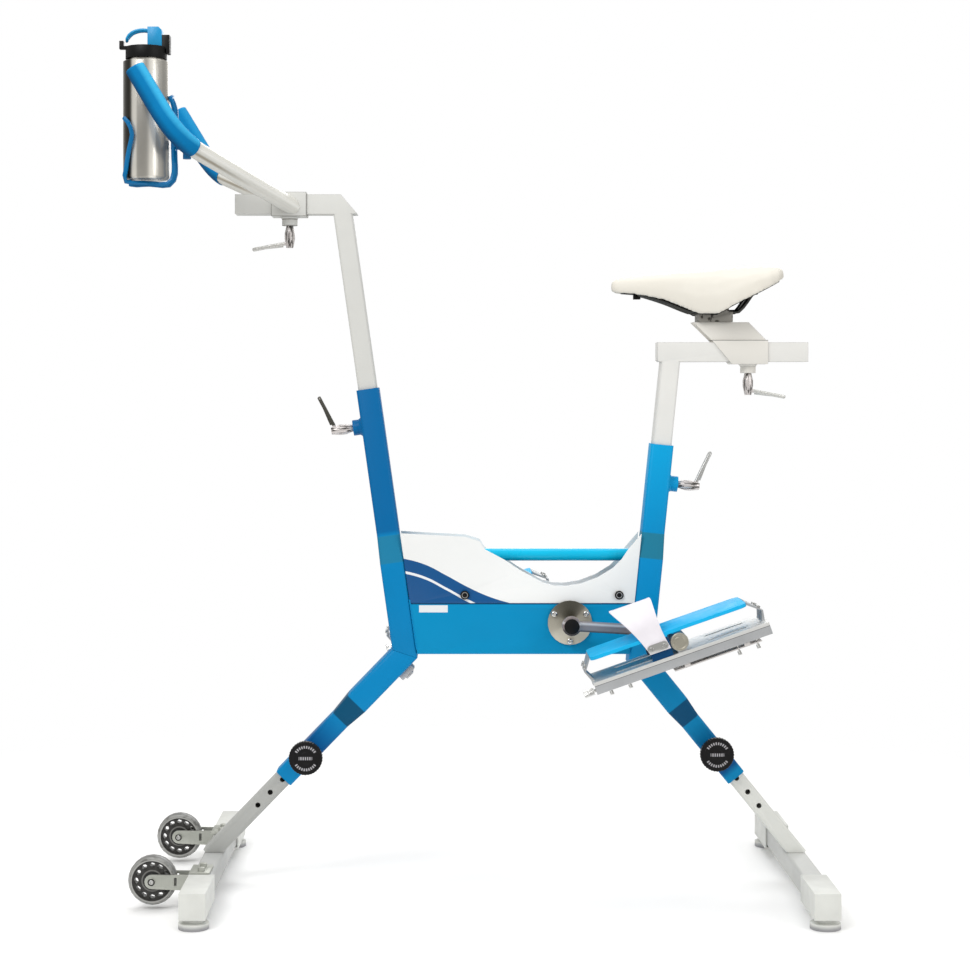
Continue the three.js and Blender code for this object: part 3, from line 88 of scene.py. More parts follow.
def having(thing, **settings):
    """Sets a thing's settings by their names, and gives it back."""
    for name, value in settings.items():
        setattr(thing, name, value)
    return thing


def axle(joint_name):
    """X and Z of a joint that turns about an axis across the bike, in metres."""
    x, _, z = joints[joint_name]["pos_m"]
    return x, z


# ---- Materials ----
def linear(red, green, blue):
    """A colour written as it shows on screen, 0 to 255, as the shader wants it."""
    values = [value / 255 for value in (red, green, blue)]
    return tuple(v / 12.92 if v <= 0.04045 else ((v + 0.055) / 1.055) ** 2.4
                 for v in values) + (1.0,)


class Look:
    """A material whose colour, roughness and bump come from nodes in the part's own places."""

    def __init__(self, name, color, roughness, metallic=0.0, **sockets):
        self.material = bpy.data.materials.new(name)
        self.material.use_nodes = True
        self.tree = self.material.node_tree
        self.surface = self.tree.nodes["Principled BSDF"]
        coordinates = self.node("TexCoord")
        self.place = coordinates.outputs["Object"]
        self.normal = coordinates.outputs["Normal"]
        self.color = self.node("RGB").outputs[0]
        self.color.default_value = linear(*color)
        self.bumps = []
        self.set("Roughness", roughness)
        self.set("Metallic", metallic)
        for socket, value in sockets.items():
            self.set(socket.replace("_", " "), value)

    def set(self, socket, value):
        self.feed(self.surface.inputs[socket], value)

    def feed(self, socket, value):
        if isinstance(value, bpy.types.NodeSocket):
            self.tree.links.new(value, socket)
        else:
            socket.default_value = value

    def node(self, kind, **inputs):
        node = self.tree.nodes.new(f"ShaderNode{kind}")
        for name, value in inputs.items():
            self.feed(node.inputs[name], value)
        return node

    def math(self, operation, *values):
        node = self.node("Math")
        node.operation = operation
        for socket, value in zip(node.inputs, values):
            self.feed(socket, value)
        return node.outputs[0]

    def product(self, first, *others):
        for other in others:
            first = self.math("MULTIPLY", first, other)
        return first

    def stretched(self, scale):
        """The part's places, stretched along X, Y and Z."""
        return self.node("Mapping", Vector=self.place, Scale=scale).outputs[0]

    def noise(self, scale, detail=3.0, vector=None):
        vector = vector or self.place
        return self.node("TexNoise", Vector=vector, Scale=scale, Detail=detail).outputs[0]

    def cells(self, scale):
        """Distance to the nearest edge of a net of small cells."""
        node = self.node("TexVoronoi", Vector=self.place, Scale=scale)
        node.feature = "DISTANCE_TO_EDGE"
        return node.outputs["Distance"]

    def axes(self):
        return self.node("SeparateXYZ", Vector=self.place).outputs

    def radius(self, centre, axis=1):
        """Distance from a line along X, Y or Z through a place."""
        axes = self.axes()
        parts = [self.math("SUBTRACT", axes[k], centre[k]) for k in range(3) if k != axis]
        return self.math("SQRT", self.math("ADD", *(self.product(part, part) for part in parts)))

    def apart(self, x, z):
        """How far back and up a place lies from an axis across the bike."""
        axes = self.axes()
        return self.math("SUBTRACT", axes[0], x), self.math("SUBTRACT", axes[2], z)

    def along(self, start, direction):
        """How far a place lies from a start along a direction, both as X and Z."""
        back, up = self.apart(*start)
        run, rise = direction
        return self.math("ADD", self.product(back, run), self.product(up, rise))

    def off_line(self, start, direction):
        """How far a place lies over a line from a start along a direction, both as X and Z."""
        run, rise = direction
        return self.along(start, (-rise, run))

    def facing(self, direction):
        """How far a surface's own normal leans towards a direction, from -1 to 1."""
        node = self.node("VectorMath")
        node.operation = "DOT_PRODUCT"
        self.feed(node.inputs[0], self.normal)
        self.feed(node.inputs[1], Vector(direction).normalized())
        return node.outputs["Value"]

    def spread(self, value, start, end, low, high):
        """A value's way from start to end as a number from low to high, held at both ends."""
        node = self.node("MapRange")
        for socket, number in zip(node.inputs, (value, start, end, low, high)):
            self.feed(socket, number)
        return node.outputs[0]

    def rise(self, value, start, end, top=1.0):
        return self.spread(value, start, end, 0.0, top)

    def fall(self, value, start, end, bottom=0.0):
        return self.spread(value, start, end, 1.0, bottom)

    def between(self, value, low, high, soft=0.2 * MM):
        """1 where a value lies between two levels, with soft edges, and 0 elsewhere."""
        return self.product(self.rise(value, low - soft, low + soft),
                            self.fall(value, high - soft, high + soft))

    def curve(self, value, stops, low=0.0, high=1.0):
        """Height of a smooth curve over a value, through stops of (value, height)."""
        node = self.node("FloatCurve", Value=value)
        points = node.mapping.curves[0].points
        for stop in stops[1:-1]:
            points.new(*stop)
        points[0].location = stops[0]
        points[len(points) - 1].location = stops[-1]
        node.mapping.update()
        return self.spread(node.outputs[0], 0.0, 1.0, low, high)

    def tint(self, share, color):
        """Turns the colour to another, by a share that changes from place to place."""
        node = self.node("Mix")
        node.data_type = "RGBA"
        for number, value in ((0, share), (6, self.color), (7, linear(*color))):
            self.feed(node.inputs[number], value)
        self.color = node.outputs[2]
        return self

    def mottle(self, amount, scale=9.0):
        """Cloudy darkening."""
        self.tint(self.rise(self.noise(scale, 4.0), 0.35, 0.65, amount), (0, 0, 0))

    def uneven(self, low, high, scale=30.0, vector=None):
        """Roughness that wanders between two levels."""
        self.set("Roughness", self.spread(self.noise(scale, 5.0, vector), 0.3, 0.7, low, high))

    def bump(self, height, depth_mm, strength):
        self.bumps.append((height, depth_mm * MM, strength))

    def done(self):
        """The material, once its colour and bumps are linked."""
        self.set("Base Color", self.color)
        normal = None
        for height, depth, strength in self.bumps:
            under = {"Normal": normal} if normal else {}
            normal = self.node("Bump", Strength=strength, Distance=depth, Height=height,
                               **under).outputs[0]
        if normal:
            self.set("Normal", normal)
        return self.material


def paint(name, color, roughness=0.42, gloss=0.03):
    """Powder paint with fine orange peel and slight waves."""
    look = Look(name, color, roughness, Coat_Weight=gloss, Coat_Roughness=0.2,
                Specular_IOR_Level=0.12)
    look.mottle(0.05)
    look.uneven(roughness - 0.06, roughness + 0.08)
    look.bump(look.noise(700, 2.0), 0.04, 0.35)
    look.bump(look.noise(60, 3.0), 0.2, 0.12)
    return look


STEEL_GRAIN, ALLOY_GRAIN, CAST_GRAIN = (6, 60, 900), (4, 200, 200), (60, 60, 60)


def metal(name, color, low, high, grain=CAST_GRAIN, depth_mm=0.03, metallic=1.0):
    """Metal with a grain; one that is less metallic shows more of its own colour."""
    look = Look(name, color, high, metallic)
    look.mottle(0.12, 20)
    streaks = look.stretched(grain)
    look.uneven(low, high, 6.0, streaks)
    look.bump(look.noise(6.0, 4.0, streaks), depth_mm, 0.4)
    return look


def plastic(name, color, roughness=0.5, grain=1400, depth_mm=0.05, shine=0.3):
    """Plastic, rubber or foam with a fine moulded grain."""
    look = Look(name, color, roughness, Specular_IOR_Level=shine)
    look.mottle(0.08, 25)
    look.uneven(roughness - 0.08, roughness + 0.08, 60)
    look.bump(look.cells(grain), depth_mm, 0.5)
    return look


# ---- Looks of the frame ----
def banded(tube, color, taper_shade, taper_shade_color, end, end_color, tip=None):
    """A tube's paint, with painted shade over its tapered stretch, whose faces turn from the
    light, and an end of another colour.

    Each stretch is (from, to) along the tube; from the tip on it has its first colour again.
    """
    look = paint(f"{tube}_paint", color)
    joint, direction = TUBES[tube]
    along = look.along(mm(*joint), direction)
    look.tint(look.rise(along, *mm(*end)), end_color)
    if tip:
        look.tint(look.rise(along, *mm(*tip)), color)
    # Painted shade over the tapered stretch
    return look.tint(look.between(along, *mm(*taper_shade), 0.8 * MM), taper_shade_color)


LABEL_X, LABEL_Z = (14, 58), (-14, -3)   # from the beam's front end, and from its top
# A painted shadow line just under the beam's top, below the cover's lower edge
BEAM_TOP_SHADOW = (-2.2, -1.2)             # dark line under the cover, from the beam's top


def beam_look():
    """Blue paint with a painted shadow line along its top under the cover, and one blank label
    near the front of the left side.
    """
    look = paint("beam_paint", (0, 140, 192))
    low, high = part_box("main_beam")
    x, y, z = look.axes()
    # Painted shadow under the cover
    look.tint(look.rise(z, *mm(*BEAM_TOP_SHADOW, start=high.z), 0.85), (0, 40, 82))
    label = look.product(look.between(x, *mm(*LABEL_X, start=low.x)),
                         look.between(z, *mm(*LABEL_Z, start=high.z)),
                         look.fall(y, *mm(1, 2, start=low.y)))
    return look.tint(label, (226, 228, 230))


WAVE_LENGTH, WAVE_HEIGHT, WAVE_LINE = 170, 71, (19, 23)
WAVE_STOPS = [(0.0, 0.98), (0.2, 0.86), (0.42, 0.6), (0.62, 0.34), (0.82, 0.13), (1.0, 0.0)]


def cover_look():
    """Glossy white, with a plain dark blue wave and a thin white line over its lower front."""
    look = Look("cover_plastic", (239, 240, 239), 0.26, Coat_Weight=0.2, Coat_Roughness=0.08,
                Specular_IOR_Level=0.25)
    low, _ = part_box("cover_left")
    x, _, z = look.axes()
    along = look.rise(x, *mm(0, WAVE_LENGTH, start=low.x))
    edge = look.curve(along, WAVE_STOPS, *mm(0, WAVE_HEIGHT, start=low.z))
    under = look.math("SUBTRACT", edge, z)
    wave = look.product(look.rise(under, 0.0, 0.6 * MM), look.fall(along, 0.98, 1.0))
    look.tint(wave, (4, 80, 138))
    look.tint(look.product(look.between(under, *mm(*WAVE_LINE)), wave), (238, 240, 242))
    look.mottle(0.03)
    look.bump(look.noise(40, 3.0), 0.2, 0.08)
    return look


SLIDER_SEAM = (-28.4, -27.6)   # from the slider's top


def slider_look():
    """The seat slider's paint, with the dark line where its halves meet."""
    look = paint("seat_slider_paint", (230, 227, 220))
    _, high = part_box("seat_slider")
    seam = look.between(look.axes()[2], *mm(*SLIDER_SEAM, start=high.z))
    return look.tint(seam, (96, 96, 96))


# Shade and light along a handlebar tube, from its axis, and where along X the shade fades
BAR_SHADE, BAR_LIGHT, BAR_FADING = (-7.2, -3.4), (1.0, 5.0), (-380, -330)


def bar_look():
    """White gloss of the handlebar tubes, with a room's shade low along them near the grips."""
    look = paint("handlebar_paint", (222, 221, 214), 0.3, 0.3)
    base, bend = (Vector((x, z)) * MM for x, _, z in (BAR_BASE, BAR_BEND))
    off = look.off_line(base, (base - bend).normalized())
    shade = look.product(look.between(off, *mm(*BAR_SHADE), 1.3 * MM),
                         look.spread(look.axes()[0], *mm(*BAR_FADING), 0.9, 0.1))
    look.tint(shade, (150, 141, 124))
    return look.tint(look.between(off, *mm(*BAR_LIGHT), 2.0 * MM), (244, 243, 238))


def foot_look():
    """Pale plastic with a darker sole."""
    look = plastic("foot_pad_plastic", (212, 213, 208), 0.44)
    return look.tint(look.fall(look.axes()[2], *mm(3, 8)), (150, 150, 152))


# Radii at which a wheel's colour changes, the hub's with the colour inside them
TREAD_EDGE, RIM_LINE = (34.6, 35.0), (29.8, 31.2)
HUB = (((29.2, 29.8), (46, 45, 43)), ((15.6, 16.4), (112, 111, 108)), ((13.6, 14.2), (36, 36, 35)))


def wheel_look(side):
    """Smoky tyre on a darker hub."""
    look = Look(f"wheel_{side}", (122, 122, 120), 0.34, Coat_Weight=0.2, Specular_IOR_Level=0.3)
    out = look.radius(joints[f"{side}_wheel_spin"]["pos_m"])
    look.tint(look.fall(out, *mm(*TREAD_EDGE)), (148, 148, 145))
    look.tint(look.rise(look.noise(90, 4.0), 0.52, 0.66, 0.8), (96, 95, 92))
    look.tint(look.between(out, *mm(*RIM_LINE)), (172, 172, 169))
    for edge, color in HUB:
        look.tint(look.fall(out, *mm(*edge)), color)
    look.mottle(0.2, 60)
    look.bump(look.noise(300, 3.0), 0.1, 0.3)
    return look


# ---- Looks of crank and pedals ----
ANCHOR_TOP = (13.2, 13.8)      # above the spindle, where the tread's anchors end
SKIRT_STRIP = (-20.5, -15.0)   # light strip of the lower plate's folded edge
SKIRT_LINE = (-21.4, -20.7)    # and the dark line under it


def above_spindle(look, side):
    """Height over a pedal's spindle, square to the tread, in metres."""
    return look.off_line(axle(f"{side}_pedal_spin"), PEDAL_RUN)


def tread_look(side):
    """Cyan tread over dark blue anchors."""
    look = plastic(f"tread_{side}", (26, 178, 232), 0.5, 500, 0.1, 0.12)
    return look.tint(look.fall(above_spindle(look, side), *mm(*ANCHOR_TOP)), (8, 62, 104))


def pedal_look(side):
    """Brushed alloy, with a light strip and a dark line where the lower plate folds down."""
    look = metal(f"pedal_alloy_{side}", (184, 186, 188), 0.42, 0.58, ALLOY_GRAIN, metallic=0.7)
    height = above_spindle(look, side)
    look.tint(look.between(height, *mm(*SKIRT_STRIP)), (216, 216, 214))
    return look.tint(look.between(height, *mm(*SKIRT_LINE), 0.1 * MM), (104, 104, 104))


# How dark a room's reflection is round the crank's flange, from its front by way of its bottom
FLANGE_STOPS = [
    (0.0, 0.42), (0.06, 0.3), (0.12, 0.02), (0.2, 0.0), (0.26, 0.18), (0.32, 0.02), (0.42, 0.05),
    (0.5, 0.5), (0.56, 0.3), (0.64, 0.8), (0.72, 0.95), (0.84, 0.9), (0.9, 0.75), (0.95, 0.5),
    (1.0, 0.42),
]


def flange_look(side):
    """Polished steel with the light and dark of a room running round its face."""
    look = metal(f"flange_steel_{side}", (208, 202, 186), 0.25, 0.36, (300, 20, 300),
                 metallic=0.1)
    back, up = look.apart(*axle("crank_spin"))
    turn = look.rise(look.math("ARCTAN2", up, back), -math.pi, math.pi)
    return look.tint(look.curve(turn, FLANGE_STOPS), (48, 46, 34))


CRANK_FALL = math.radians(3.4)
# Bands of painted highlight and painted shade on the crank arm
CRANK_HIGHLIGHT, CRANK_SHADE = (3.0, 6.2), (-7.0, -4.0)   # from the arm's middle line


def crank_look(side):
    """Grey steel, with a painted highlight along the arm's upper edge and painted shade along its
    lower one.
    """
    look = metal(f"crank_steel_{side}", (154, 144, 144), 0.3, 0.42, (6, 60, 600), metallic=0.35)
    off = look.off_line(axle("crank_spin"), (math.cos(CRANK_FALL), -math.sin(CRANK_FALL)))
    look.tint(look.between(off, *mm(*CRANK_HIGHLIGHT), 1.2 * MM), (214, 210, 210))
    return look.tint(look.fall(off, *mm(*CRANK_SHADE)), (74, 70, 72))


# ---- Looks of saddle, grips, bottle, levers and knobs ----
def grip_look():
    """Blue foam, with painted shade low in front, and a painted highlight high behind on the near
    side.
    """
    look = plastic("grip_foam", (0, 122, 182), 0.7, 2600, 0.12, 0.12)
    # Painted shade on faces turned low and forward
    look.tint(look.rise(look.facing((-0.7, 0, -0.7)), 0.25, 0.92, 0.95), (0, 72, 120))
    # Painted highlight on faces turned high and back, weaker towards the far grip
    painted_highlight = look.rise(look.facing((0.55, -0.6, 0.55)), 0.76, 0.99, 0.8)
    nearness = look.fall(look.axes()[1], *mm(-50, 50), 0.3)
    return look.tint(look.product(painted_highlight, nearness), (66, 188, 234))


def clamp_look():
    """Grey cast metal with dark joints round the rails."""
    look = metal("saddle_clamp_metal", (150, 147, 140), 0.3, 0.45, metallic=0.5)
    return look.tint(look.rise(look.noise(160, 3.0), 0.52, 0.6, 0.9), (46, 42, 36))


def saddle_look():
    """Off-white cover with a fine leather grain."""
    look = Look("saddle_cover", (222, 218, 208), 0.5, Coat_Weight=0.05, Coat_Roughness=0.35,
                Specular_IOR_Level=0.3)
    look.mottle(0.04, 14)
    look.tint(look.rise(look.noise(5.0, 2.0), 0.4, 0.7, 0.25), (234, 227, 214))
    look.uneven(0.42, 0.58, 40)
    look.bump(look.cells(900), 0.12, 0.35)
    look.bump(look.noise(120, 4.0), 0.2, 0.2)
    return look


# How dark a room's reflection is across the bottle, from its front to its back
BOTTLE_STOPS = [
    (0.0, 0.4), (0.05, 0.9), (0.13, 1.0), (0.2, 0.98), (0.26, 0.35), (0.31, 0.18), (0.345, 0.25),
    (0.4, 0.62), (0.54, 0.62), (0.61, 0.4), (0.67, 0.05), (0.73, 0.0), (0.785, 0.48),
    (0.86, 0.5), (0.91, 0.6), (0.955, 0.55), (1.0, 0.3),
]


def bottle_look():
    """Polished steel, with the light and dark bands of a room along it."""
    look = metal("bottle_steel", (246, 242, 232), 0.24, 0.27, (3, 3, 700), 0.003, 0.45)
    low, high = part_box("bottle")
    across = look.rise(look.axes()[0], low.x, high.x)
    return look.tint(look.curve(across, BOTTLE_STOPS), (30, 27, 18))


# Levers, the bodies that they ride with, the colours of their arm and grip, and their flutes
UPRIGHT, LEVEL = (420, 420, 30), (30, 420, 420)
LEVERS = {
    "handlebar_lever": ("handlebar_clamp", (208, 207, 203), (206, 205, 201), UPRIGHT),
    "seat_lever": ("seat_clamp", (206, 206, 202), (206, 206, 202), UPRIGHT),
    "front_post_lever": ("front_post_clamp", (70, 69, 62), (66, 65, 58), LEVEL),
    "rear_post_lever": ("rear_post_clamp", (176, 176, 174), (182, 182, 180), LEVEL),
}
LEVER_HUB = (7.8, 8.4)   # radius where a lever's hub ends and its arm begins


def lever_look(name, arm_color, flutes):
    """Bright hub with dark flutes along its length, and an arm of its own colour."""
    look = metal(f"{name}_steel", (218, 212, 210), 0.2, 0.34, metallic=0.4)
    dark = look.rise(look.noise(1.0, 2.0, look.stretched(flutes)), 0.5, 0.57, 0.92)
    look.tint(dark, (52, 50, 46))
    run, _, rise = joints[f"{name}_turn"]["axis"]
    off = look.math("ABSOLUTE", look.off_line(axle(f"{name}_turn"), (run, rise)))
    return look.tint(look.rise(off, *mm(*LEVER_HUB)), arm_color)


# Strokes round a knob's face, between two radii, and a row of them across its middle
STROKE_COLOR, STROKE_TURNS, STROKE_RING = (190, 188, 192), 30, (15.2, 19.2)
STROKE_PITCH, ROW_LENGTH, ROW_HEIGHT = 3.4, (-10.2, 10.2), (-2.4, 2.4)


def knob_look(name):
    """Black plastic, with plain strokes where the photo's knob is lettered."""
    look = plastic(f"{name}_plastic", (13, 12, 13), 0.42, shine=0.2)
    low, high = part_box(name)
    middle = (low + high) / 2
    across, up = look.apart(middle.x, middle.z)
    turn = look.math("ARCTAN2", up, across)

    def combed(phase):
        return look.rise(look.math("COSINE", phase), -0.3, 0.2, 0.8)

    arcs = look.rise(look.math("ABSOLUTE", look.math("SINE", turn)), 0.5, 0.54)
    ring = look.between(look.radius(middle), *mm(*STROKE_RING))
    strokes = combed(look.product(turn, STROKE_TURNS))
    look.tint(look.product(strokes, arcs, ring), STROKE_COLOR)
    row = look.product(look.between(across, *mm(*ROW_LENGTH)), look.between(up, *mm(*ROW_HEIGHT)))
    strokes = combed(look.product(across, 2 * math.pi / (STROKE_PITCH * MM)))
    return look.tint(look.product(strokes, row), STROKE_COLOR)


blue = paint("blue_paint", (0, 134, 190))
white_paint = paint("white_paint", (213, 213, 209))
# Painted shade for the rounded edges of white pieces
edge_shade = paint("edge_shade", (128, 126, 122)).done()
black = plastic("black_plastic", (12, 12, 12), 0.46, shine=0.2)
grip_foam = grip_look()
strap_white = plastic("strap_rubber", (236, 232, 238), 0.55, 1800, 0.06)
plug_white = plastic("plug_plastic", (206, 207, 204))
steel = metal("brushed_steel", (188, 188, 186), 0.2, 0.36, STEEL_GRAIN)
alloy = metal("pedal_alloy", (186, 188, 192), 0.42, 0.58, ALLOY_GRAIN)
# A lighter, less metallic copy of the pedal alloy: painted light for the fin, which lies in shade
# under the pedal
lit_fin_alloy = metal("lit_fin_alloy", (206, 202, 200), 0.45, 0.6, ALLOY_GRAIN, metallic=0.1)
bright = metal("bright_steel", (214, 214, 212), 0.08, 0.18)
dark_metal = metal("dark_metal", (72, 72, 70), 0.22, 0.4, (30, 30, 30))
barrel_metal = metal("barrel_metal", (186, 182, 168), 0.3, 0.45, (90, 90, 90))
fork_steel = metal("fork_steel", (186, 188, 180), 0.4, 0.55, (200, 20, 8))
handlebar_paint, cover, foot = bar_look(), cover_look(), foot_look()

LEG_TIP = (215, 225)
# For a tube: its colour, the stretch and colour of the painted shade on its taper, then its end
# and the end's colour
CAD_LOOKS = {
    "front_post": banded(
        "front_post", (0, 128, 186), (141, 183), (30, 124, 162), (183, 190), (0, 100, 158)),
    "rear_post": banded(
        "rear_post", (0, 140, 198), (157, 196), (34, 124, 152), (190, 330), (0, 158, 214)),
    "front_leg_sleeve": banded(
        "front_leg", (0, 130, 188), (107, 143), (4, 76, 110), (135, 195), (0, 84, 144), LEG_TIP),
    "rear_leg_sleeve": banded(
        "rear_leg", (0, 132, 186), (90, 122), (4, 76, 116), (130, 190), (0, 80, 138), LEG_TIP),
    "main_beam": beam_look(),
    # The top bar's light cyan is its paint with a painted highlight in it
    "top_bar": paint("lit_top_bar_paint", (0, 184, 224), 0.3, 0.3),
    "front_leg_tube": paint("leg_paint", (174, 175, 172)),
    "rear_leg_tube": paint("rear_leg_paint", (216, 217, 212)),
    "front_floor_bar": paint("front_bar_paint", (178, 179, 177)),
    "rear_floor_bar": paint("rear_bar_paint", (191, 192, 189)),
    "handlebar_post": white_paint, "handlebar_slider": white_paint,
    "seat_post": paint("seat_paint", (231, 230, 226)),
    "seat_slider": slider_look(),
    "saddle_clamp": clamp_look(),
    "saddle_rails": dark_metal, "saddle_shell": black, "bottle_lid": black,
    "bottle": bottle_look(),
    "bottle_spout": plastic("spout_plastic", (34, 150, 205), 0.35),
    "bottle_cage": paint("cage_paint", (0, 108, 164), 0.3, 0.3),
    "crank_axle": dark_metal,
}
for side in SIDES:
    CAD_LOOKS.update({
        f"handlebar_{side}": handlebar_paint, f"cover_{side}": cover, f"crank_cap_{side}": black,
        f"bearing_{side}": flange_look(side), f"crank_{side}": crank_look(side),
        f"pedal_spindle_{side}": steel, f"pedal_body_{side}": pedal_look(side),
        f"pedal_tread_{side}": tread_look(side), f"wheel_{side}": wheel_look(side),
        f"wheel_fork_{side}": fork_steel,
    })
for end in ("front", "rear"):
    CAD_LOOKS[f"cover_bolt_{end}"] = black
    CAD_LOOKS.update({f"{end}_foot_{side}": foot for side in SIDES})
for lever, (_, arm_color, _, flutes) in LEVERS.items():
    CAD_LOOKS[lever] = lever_look(lever, arm_color, flutes)


# ---- Edges and shading of the CAD nodes ----
def smoother(angle):
    """A node group that shades smoothly except over edges sharper than an angle."""
    group = bpy.data.node_groups.new("smooth_shading", "GeometryNodeTree")
    for way in ("INPUT", "OUTPUT"):
        group.interface.new_socket("Geometry", in_out=way, socket_type="NodeSocketGeometry")
    start, end, edge, compare, faces, edges = (group.nodes.new(kind) for kind in (
        "NodeGroupInput", "NodeGroupOutput", "GeometryNodeInputMeshEdgeAngle",
        "FunctionNodeCompare", "GeometryNodeSetShadeSmooth", "GeometryNodeSetShadeSmooth"))
    compare.operation = "LESS_THAN"
    compare.inputs[1].default_value = angle
    edges.domain = "EDGE"
    for output, socket in (
            (start.outputs[0], faces.inputs[0]), (faces.outputs[0], edges.inputs[0]),
            (edge.outputs["Unsigned Angle"], compare.inputs[0]), (edges.outputs[0], end.inputs[0]),
            (compare.outputs[0], edges.inputs["Shade Smooth"])):
        group.links.new(output, socket)
    return group


SMOOTH = smoother(SHADED_SHARP)
WELD_DISTANCE, EDGE_WIDTH = 0.02, 0.7
EDGE_WIDTHS = {"bottle_cage": 1.1, "saddle_rails": 1.0, "bottle_spout": 0.8, "saddle_shell": 0.8}
EDGE_WIDTHS.update(dict.fromkeys(LEVERS, 0.9))
EDGE_WIDTHS.update({f"{piece}_{side}": width for side in SIDES
                    for piece, width in (("cover", 0.4), ("pedal_body", 0.4), ("wheel", 0.5))})
# White pieces whose rounded edges get painted shade, as grey lines
SHADE_EDGED = {"handlebar_post", "handlebar_slider", "seat_post", "seat_slider",
              "front_leg_tube", "rear_leg_tube"}


def rounded(obj, width_mm, segments=2):
    """Rounds an object's sharp edges a little and smooths its shading."""
    having(obj.modifiers.new("bevel", "BEVEL"), width=width_mm * MM, segments=segments,
           limit_method="ANGLE", angle_limit=SHARP)
    having(obj.modifiers.new("shade", "NODES"), node_group=SMOOTH)
    return obj


finished = {}


def ready(look):
    """A look's material, finished only once."""
    if look not in finished:
        finished[look] = look.done()
    return finished[look]


for name, look in CAD_LOOKS.items():
    node = nodes[name]
    node.data.materials.clear()
    node.data.materials.append(ready(look))
    having(node.modifiers.new("weld", "WELD"), merge_threshold=WELD_DISTANCE * MM)
    rounded(node, EDGE_WIDTHS.get(name, EDGE_WIDTH))
    # The bevels of these pieces take the painted edge shade
    if name in SHADE_EDGED:
        node.data.materials.append(edge_shade)
        node.modifiers["bevel"].material = 1


# ---- Shapes ----
def placed(name, data):
    """A new object of some data, in the scene."""
    obj = bpy.data.objects.new(name, data)
    scene.collection.objects.link(obj)
    return obj


def add(name, body, look, shape):
    """A new piece that rides on a body, from vertices and faces in metres."""
    vertices, faces = shape
    mesh = bpy.data.meshes.new(name)
    mesh.from_pydata([tuple(vertex) for vertex in vertices], [], faces)
    check = bmesh.new()
    check.from_mesh(mesh)
    bmesh.ops.recalc_face_normals(check, faces=check.faces)
    check.to_mesh(mesh)
    check.free()
    mesh.materials.append(ready(look))
    for face in mesh.polygons:
        face.use_smooth = True
    obj = placed(name, mesh)
    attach(obj, body)
    return obj


def skin(rings, closed_ends=True):
    """Vertices and faces over rings of equal counts of points."""
    count = len(rings[0])
    vertices = [point for ring in rings for point in ring]
    last = len(vertices) - count
    faces = []
    for start in range(0, last, count):
        for place in range(count):
            a, b = start + place, start + (place + 1) % count
            faces.append((a, b, b + count, a + count))
    if closed_ends:
        faces += [tuple(range(count)), tuple(range(last, last + count))]
    return vertices, faces


def joined(*shapes):
    """Several shapes as one."""
    vertices, faces = [], []
    for more, their_faces in shapes:
        start = len(vertices)
        vertices += more
        faces += [tuple(index + start for index in face) for face in their_faces]
    return vertices, faces


def trim(name, body, slot, look, *shapes, width=0.3):
    """A small piece of one or more shapes, with rounded edges."""
    return rounded(add(name, body, look, joined(*shapes)), width)


def aimed(spot, axis):
    """A place at a spot in metres whose local Z points along an axis."""
    return Matrix.Translation(spot) @ Vector(axis).to_track_quat("Z", "Y").to_matrix().to_4x4()


THIN = 0.01           # radius that stands for a point on a turned shape's axis
FLUTED_SHARE = 0.93   # share of the greatest radius from which on flutes are cut


def turned(profile, place, sides=48, flutes=0, depth=0.0, hollow=False):
    """A turned shape about the local Z of a place, from (radius, height) in mm.

    Flutes cut its widest part. A hollow shape is a ring that its profile goes round.
    """
    if hollow:
        profile = profile + profile[:1]
    widest = max(radius for radius, _ in profile)
    rings = []
    for radius, height in profile:
        ring = []
        for step in range(sides):
            turn = 2 * math.pi * step / sides
            out = radius
            if flutes and radius > FLUTED_SHARE * widest:
                out -= depth * (0.5 - 0.5 * math.cos(flutes * turn))
            out = max(out, THIN)
            point = Vector((out * math.cos(turn), out * math.sin(turn), height)) * MM
            ring.append(place @ point)
        rings.append(ring)
    return skin(rings, not hollow)


def stud(place, radius, low, high, lip=0.5):
    """A small round head or washer along a place's Z, from low to high in mm."""
    profile = [(0, low), (radius, low), (radius, high - lip), (radius - lip, high), (0, high)]
    return turned(profile, place, 28)


def slab(place, size, centre):
    """A plain block with its size and centre in mm in a place's own axes."""
    half = Vector(size) / 2
    rings = [[place @ ((Vector(centre) + Vector((a * half.x, b * half.y, c * half.z))) * MM)
              for a, b in CORNERS] for c in (-1, 1)]
    return skin(rings)


def stations(points):
    """Point, tangent and two crossways directions at each point of a path, without twist."""
    result = []
    side = None
    for k, point in enumerate(points):
        tangent = (points[min(k + 1, len(points) - 1)] - points[max(k - 1, 0)]).normalized()
        side = tangent.orthogonal() if side is None else side - tangent * side.dot(tangent)
        side = side.normalized()
        result.append((point, tangent, side, tangent.cross(side)))
    return result


def hoop(station, radius, ahead=0.0, sides=40):
    """A ring of points round a station, moved on along its tangent."""
    point, tangent, side, other = station
    turns = [2 * math.pi * step / sides for step in range(sides)]
    return [point + ahead * tangent + radius * (math.cos(turn) * side + math.sin(turn) * other)
            for turn in turns]


def swept(points, radii, sides):
    """A round bar along points, with a radius at each, all in metres."""
    return skin([hoop(station, radius, 0.0, sides)
                 for station, radius in zip(stations(points), radii)])


def points_of(mesh):
    """A mesh's vertices as rows of X, Y and Z."""
    values = np.empty(len(mesh.vertices) * 3)
    mesh.vertices.foreach_get("co", values)
    return values.reshape(-1, 3)


# ---- Saddle: a cushion swollen from the CAD pad ----
CLOTH = {"use_pressure": True, "uniform_pressure_force": 2.0, "tension_stiffness": 40,
         "compression_stiffness": 40, "bending_stiffness": 8}
CLOTH_MOMENTS, CLOTH_CAP = 15, 1.5
CUSHION_VOXEL, CUSHION_FILL = 3, 0.95


